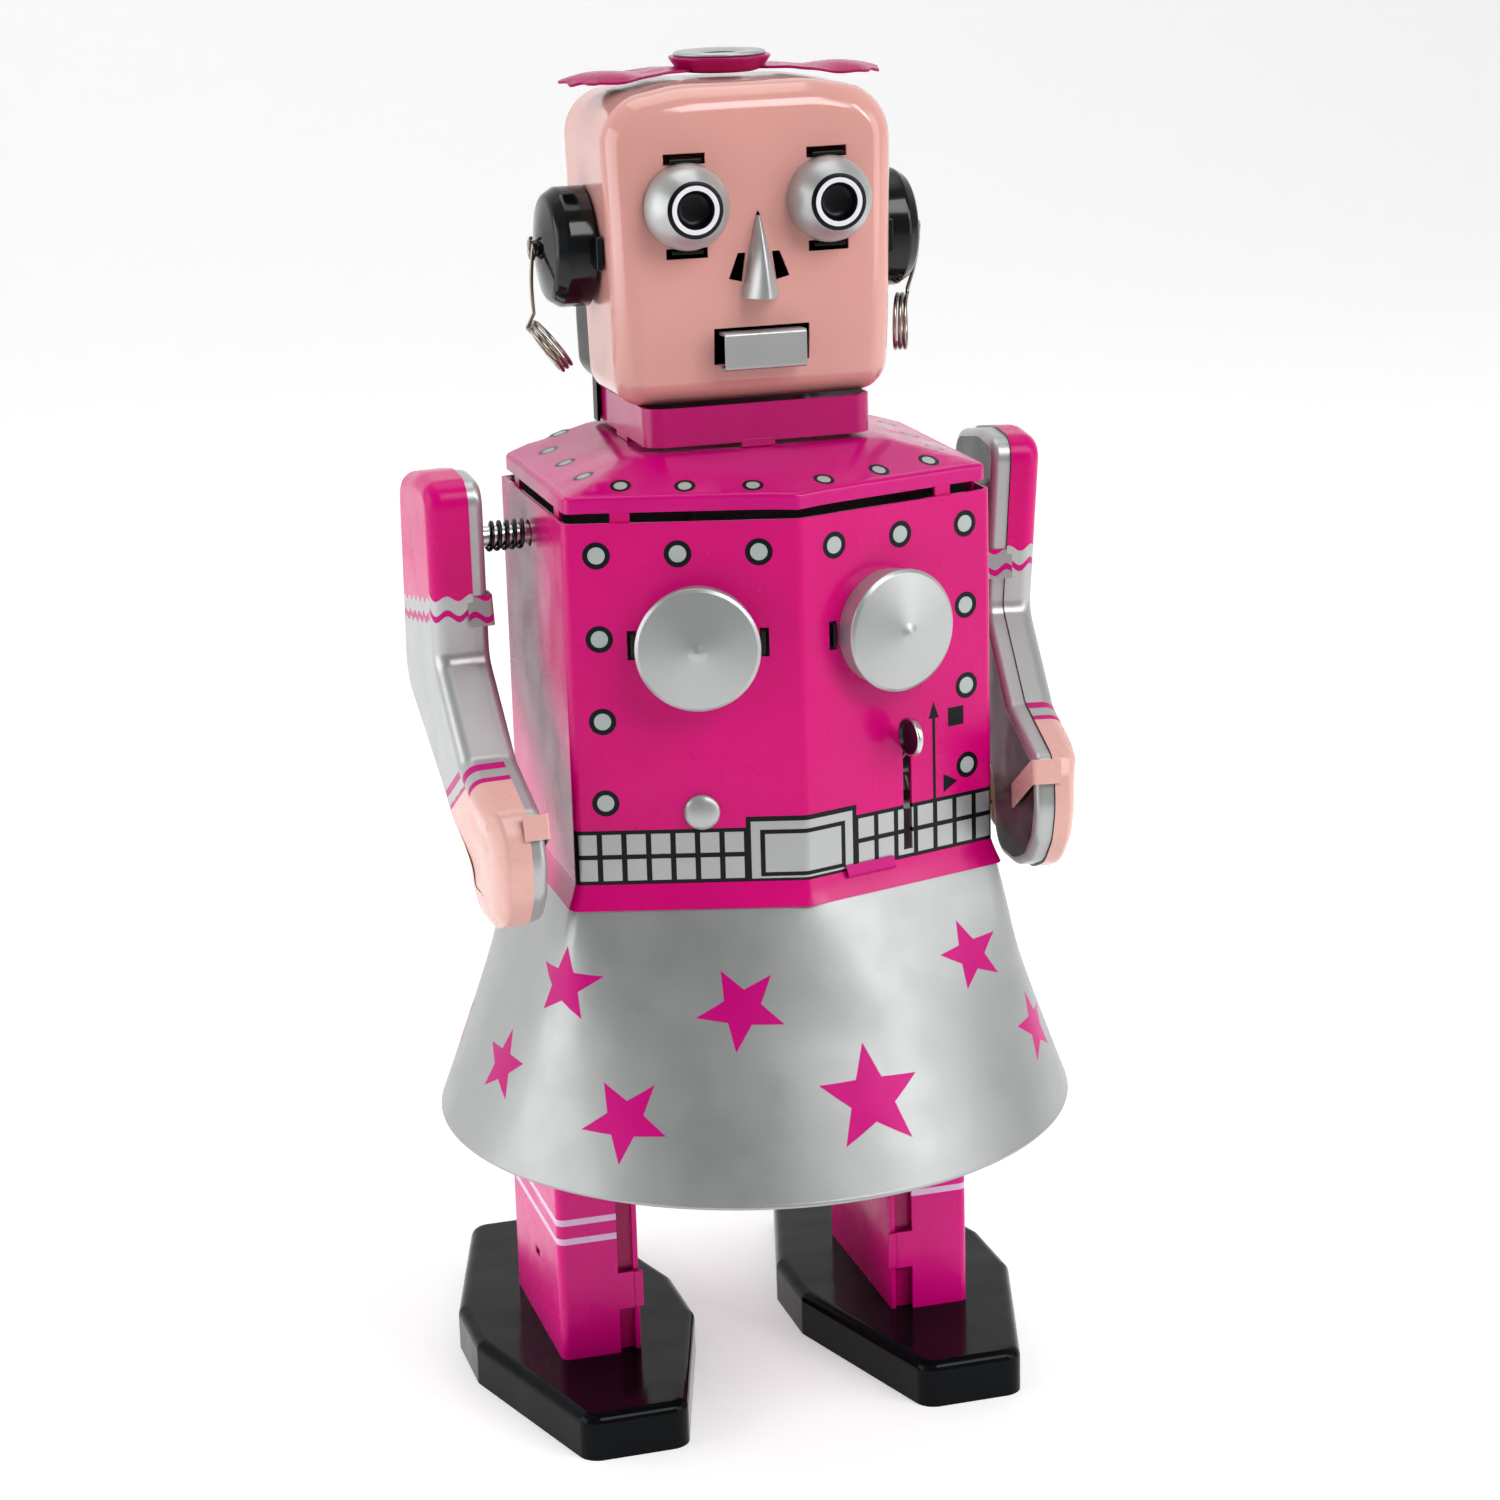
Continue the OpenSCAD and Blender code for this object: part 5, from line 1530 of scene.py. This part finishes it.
def foot_shell(name, node, body):
    """An eight-sided shoe with rounded edges."""
    low, high = box_mm(node)
    x, y = (low.x + high.x) / 2, (low.y + high.y) / 2
    half_l, half_w, top = (high.y - low.y) / 2, (high.x - low.x) / 2, high.z
    toe, heel, side_l = 7.8, 8.7, 7
    corners = [(-toe, -half_l), (toe, -half_l), (half_w, -side_l), (half_w, side_l), (heel, half_l),
               (-heel, half_l), (-half_w, side_l), (-half_w, -side_l)]
    outline = Fold(corners, [3.2, 3.2, 3.0, 3.0, 3.2, 3.2, 3.0, 3.0], closed=True)
    stops = outline.stops(2.6, 6)
    radius = 1.7

    def wall(u, v):
        bend = np.clip(v, 0, None) * math.pi / 2
        z = np.where(v < 0, (top - radius) * (v + 1), top - radius + radius * np.sin(bend))
        return np.column_stack([outline.inset(u, radius * (1 - np.cos(bend))) + (x, y), z])

    def cap(u, v):
        return np.column_stack([u + x, v + y, np.full_like(u, top)])

    def open_edge(u, v):
        return np.column_stack([outline.inset(u, v) + (x, y), np.zeros_like(u)])

    shape = Shape()
    inside = (x, y, 2.0)
    rows = [-1, -0.66, -0.33, 0, 0.17, 0.34, 0.5, 0.67, 0.84, 1.0]
    grid(shape, wall, stops, rows, "shoe", inside, closed=True)
    edge = [tuple(p) for p in outline.inset(np.array(stops), radius)]
    lines = cross_lines(levels(-16, 16, 4), levels(-36, 36, 4), -20, 20, -40, 40)
    panel(shape, cap, edge, "shoe", (), (), lines, inside, thick=0)
    grid(shape, open_edge, stops, [0.0, TIN], "shoe", (x, y, 30.0), closed=True)
    shape.make(name, body, (node,))


# ---------------------------------------------------------------- build

torso_front()
torso_back()
torso_lid()
waist_band()
skirt()
head_front()
head_back()
neck_collar()
nose()
mouth()
hair_bow()
belt_rivet()
lever_knob()
for side, word in ((-1, "right"), (1, "left")):
    eye(side, word + "_eye_printed", word + "_eye")
    ear(side, word + "_ear_cap", word + "_ear")
    earring(side, word + "_earring_wire", word + "_earring")
    dial(side, word + "_dial_spun", word + "_dial")
    arm_body = word + "_arm"
    leg_body = word + "_leg"
    arm_outer(side, word + "_arm_printed", word + "_arm_outer", arm_body)
    arm_inner(side, word + "_arm_tray", word + "_arm_inner", arm_body)
    shoulder_pin(side, word + "_shoulder_pin_turned", word + "_shoulder_pin", arm_body)
    shoulder_spring(side, word + "_shoulder_coil", word + "_shoulder_spring", arm_body)
    leg_shell(side, word + "_leg_printed", word + "_leg_shell", leg_body)
    refine(word + "_leg_hanger", leg_body, 0.12)
    foot_shell(word + "_foot_enamel", word + "_foot_shell", leg_body)
    refine(word + "_sole_plate", leg_body, 0.1)
    for end in ("front", "rear"):
        refine(word + "_" + end + "_roller", word + "_" + end + "_roller_body", 0.25)
refine("stop_lever", "lever", 0.15, ink="gloss_black")
for node, body, bevel in (
        ("winding_key", "key", 0.25), ("winding_shaft", "key", 0.15),
        ("great_wheel", "great_wheel_body", 0.08), ("crank_shaft", "crank", 0.08),
        ("crank_wheel", "crank", 0.08), ("governor_shaft", "governor", 0.08),
        ("governor_fly", "governor", 0.08), ("right_motor_plate", "body", 0.15),
        ("left_motor_plate", "body", 0.15), ("motor_bracket", "body", 0.15)):
    refine(node, body, bevel)

# the CAD nodes that stay get the material of their slot
shown = {o for o in frame["nodes"].values() if not o.hide_render}
for piece in shown:
    piece.data.materials.clear()
    piece.data.materials.append(INK[NODE_INK[NODE_SLOT[piece.name]]])


# ---------------------------------------------------------------- floor, light and camera

def cyclorama():
    """A pale floor that curves up behind the robot and glows a little as painted light. Its front, out of
    sight, is painted darker and glows less, as painted shade for the reflections in the front panels.
    """
    half, wall_y, sweep = 7.0, 0.9, 0.5
    profile = [(-half, 0.0), (wall_y, 0.0)]
    for a in (math.pi / 32 * i for i in range(1, 17)):
        profile.append((wall_y + sweep * math.sin(a), sweep - sweep * math.cos(a)))
    profile.append((wall_y + sweep, 3.0))
    points = [(x, y, z) for y, z in profile for x in (-half, half)]
    faces = [(2 * i, 2 * i + 1, 2 * i + 3, 2 * i + 2) for i in range(len(profile) - 1)]
    mesh = bpy.data.meshes.new("studio_floor")
    mesh.from_pydata(points, [], faces)
    mesh.polygons.foreach_set("use_smooth", [True] * len(mesh.polygons))
    material, nodes, links, shader = new_material("studio_paper")
    shader.inputs["Roughness"].default_value = 0.8
    shader.inputs["Specular IOR Level"].default_value = 0.1
    # the floor's emission is painted light, and its darker, dimmer front is painted shade
    shader.inputs["Emission Color"].default_value = (1, 1, 1, 1)
    coords = nodes.new("ShaderNodeTexCoord")
    split = nodes.new("ShaderNodeSeparateXYZ")
    links.new(coords.outputs["Object"], split.inputs["Vector"])
    dark_y, pale_y = -0.42, -0.14
    shade = nodes.new("ShaderNodeMix")
    shade.data_type = "RGBA"
    shade.inputs["A"].default_value = (0.5, 0.5, 0.5, 1)
    shade.inputs["B"].default_value = (0.84, 0.84, 0.84, 1)
    links.new(ramp(nodes, links, split.outputs["Y"], dark_y, pale_y, 0.0, 1.0), shade.inputs["Factor"])
    links.new(shade.outputs["Result"], shader.inputs["Base Color"])
    glow = ramp(nodes, links, split.outputs["Y"], dark_y, pale_y, 0.06, 0.42)
    links.new(glow, shader.inputs["Emission Strength"])
    mesh.materials.append(material)
    floor = bpy.data.objects.new("studio_floor", mesh)
    bpy.context.scene.collection.objects.link(floor)


def softbox(name, place_at, target, size, power):
    light = bpy.data.lights.new(name, "AREA")
    light.shape = "RECTANGLE"
    light.size, light.size_y = size
    light.energy = power
    lamp = bpy.data.objects.new(name, light)
    lamp.location = place_at
    lamp.rotation_euler = (Vector(target) - Vector(place_at)).to_track_quat("-Z", "Y").to_euler()
    bpy.context.scene.collection.objects.link(lamp)


CAMERA_AT = Vector((-137.31, -482.23, 239.36)) * MM
CAMERA_TO = Vector((-1.74, -11.0, 102.82)) * MM
CAMERA_ROLL = math.radians(-1.59)
CAMERA_LENS = 82.62


def camera():
    data = bpy.data.cameras.new("camera")
    data.lens = CAMERA_LENS
    data.sensor_width = 36.0
    data.clip_start = 0.01
    view = bpy.data.objects.new("camera", data)
    aim = (CAMERA_TO - CAMERA_AT).to_track_quat("-Z", "Y").to_matrix()
    turn = (aim @ Matrix.Rotation(CAMERA_ROLL, 3, "Z")).to_4x4()
    view.matrix_world = Matrix.Translation(CAMERA_AT) @ turn
    bpy.context.scene.collection.objects.link(view)
    bpy.context.scene.camera = view


def world():
    """A pale studio that is darker in front of the robot, so its face panels keep their colour."""
    sky = bpy.data.worlds.new("studio")
    sky.use_nodes = True
    nodes = sky.node_tree.nodes
    links = sky.node_tree.links
    back = nodes["Background"]
    back.inputs["Strength"].default_value = 0.42
    coords = nodes.new("ShaderNodeTexCoord")
    split = nodes.new("ShaderNodeSeparateXYZ")
    links.new(coords.outputs["Generated"], split.inputs["Vector"])
    depth = ramp(nodes, links, split.outputs["Y"], -0.5, 0.35, 0.4, 1.0)
    left = ramp(nodes, links, split.outputs["X"], -0.9, -0.5, 1.0, 0.0)
    lighter = nodes.new("ShaderNodeMath")
    lighter.operation = "MAXIMUM"
    links.new(depth, lighter.inputs[0])
    links.new(left, lighter.inputs[1])
    links.new(lighter.outputs["Value"], back.inputs["Color"])
    bpy.context.scene.world = sky


cyclorama()
middle = (0, 0, 0.1)
softbox("key_light", (0.3, -0.72, 0.85), middle, (0.45, 0.45), 4.4)
softbox("side_light", (-0.85, 0.05, 0.25), middle, (0.7, 0.7), 3.6)
softbox("fill_light", (0.8, -0.5, 0.3), middle, (0.5, 0.6), 1.9)
softbox("rim_light", (0.62, -0.62, 0.6), (0, 0, 0.18), (0.1, 0.45), 1.6)
softbox("top_light", (0.0, 0.15, 0.95), middle, (0.6, 0.6), 2.0)
camera()
world()
bpy.context.scene.view_settings.view_transform = "Standard"
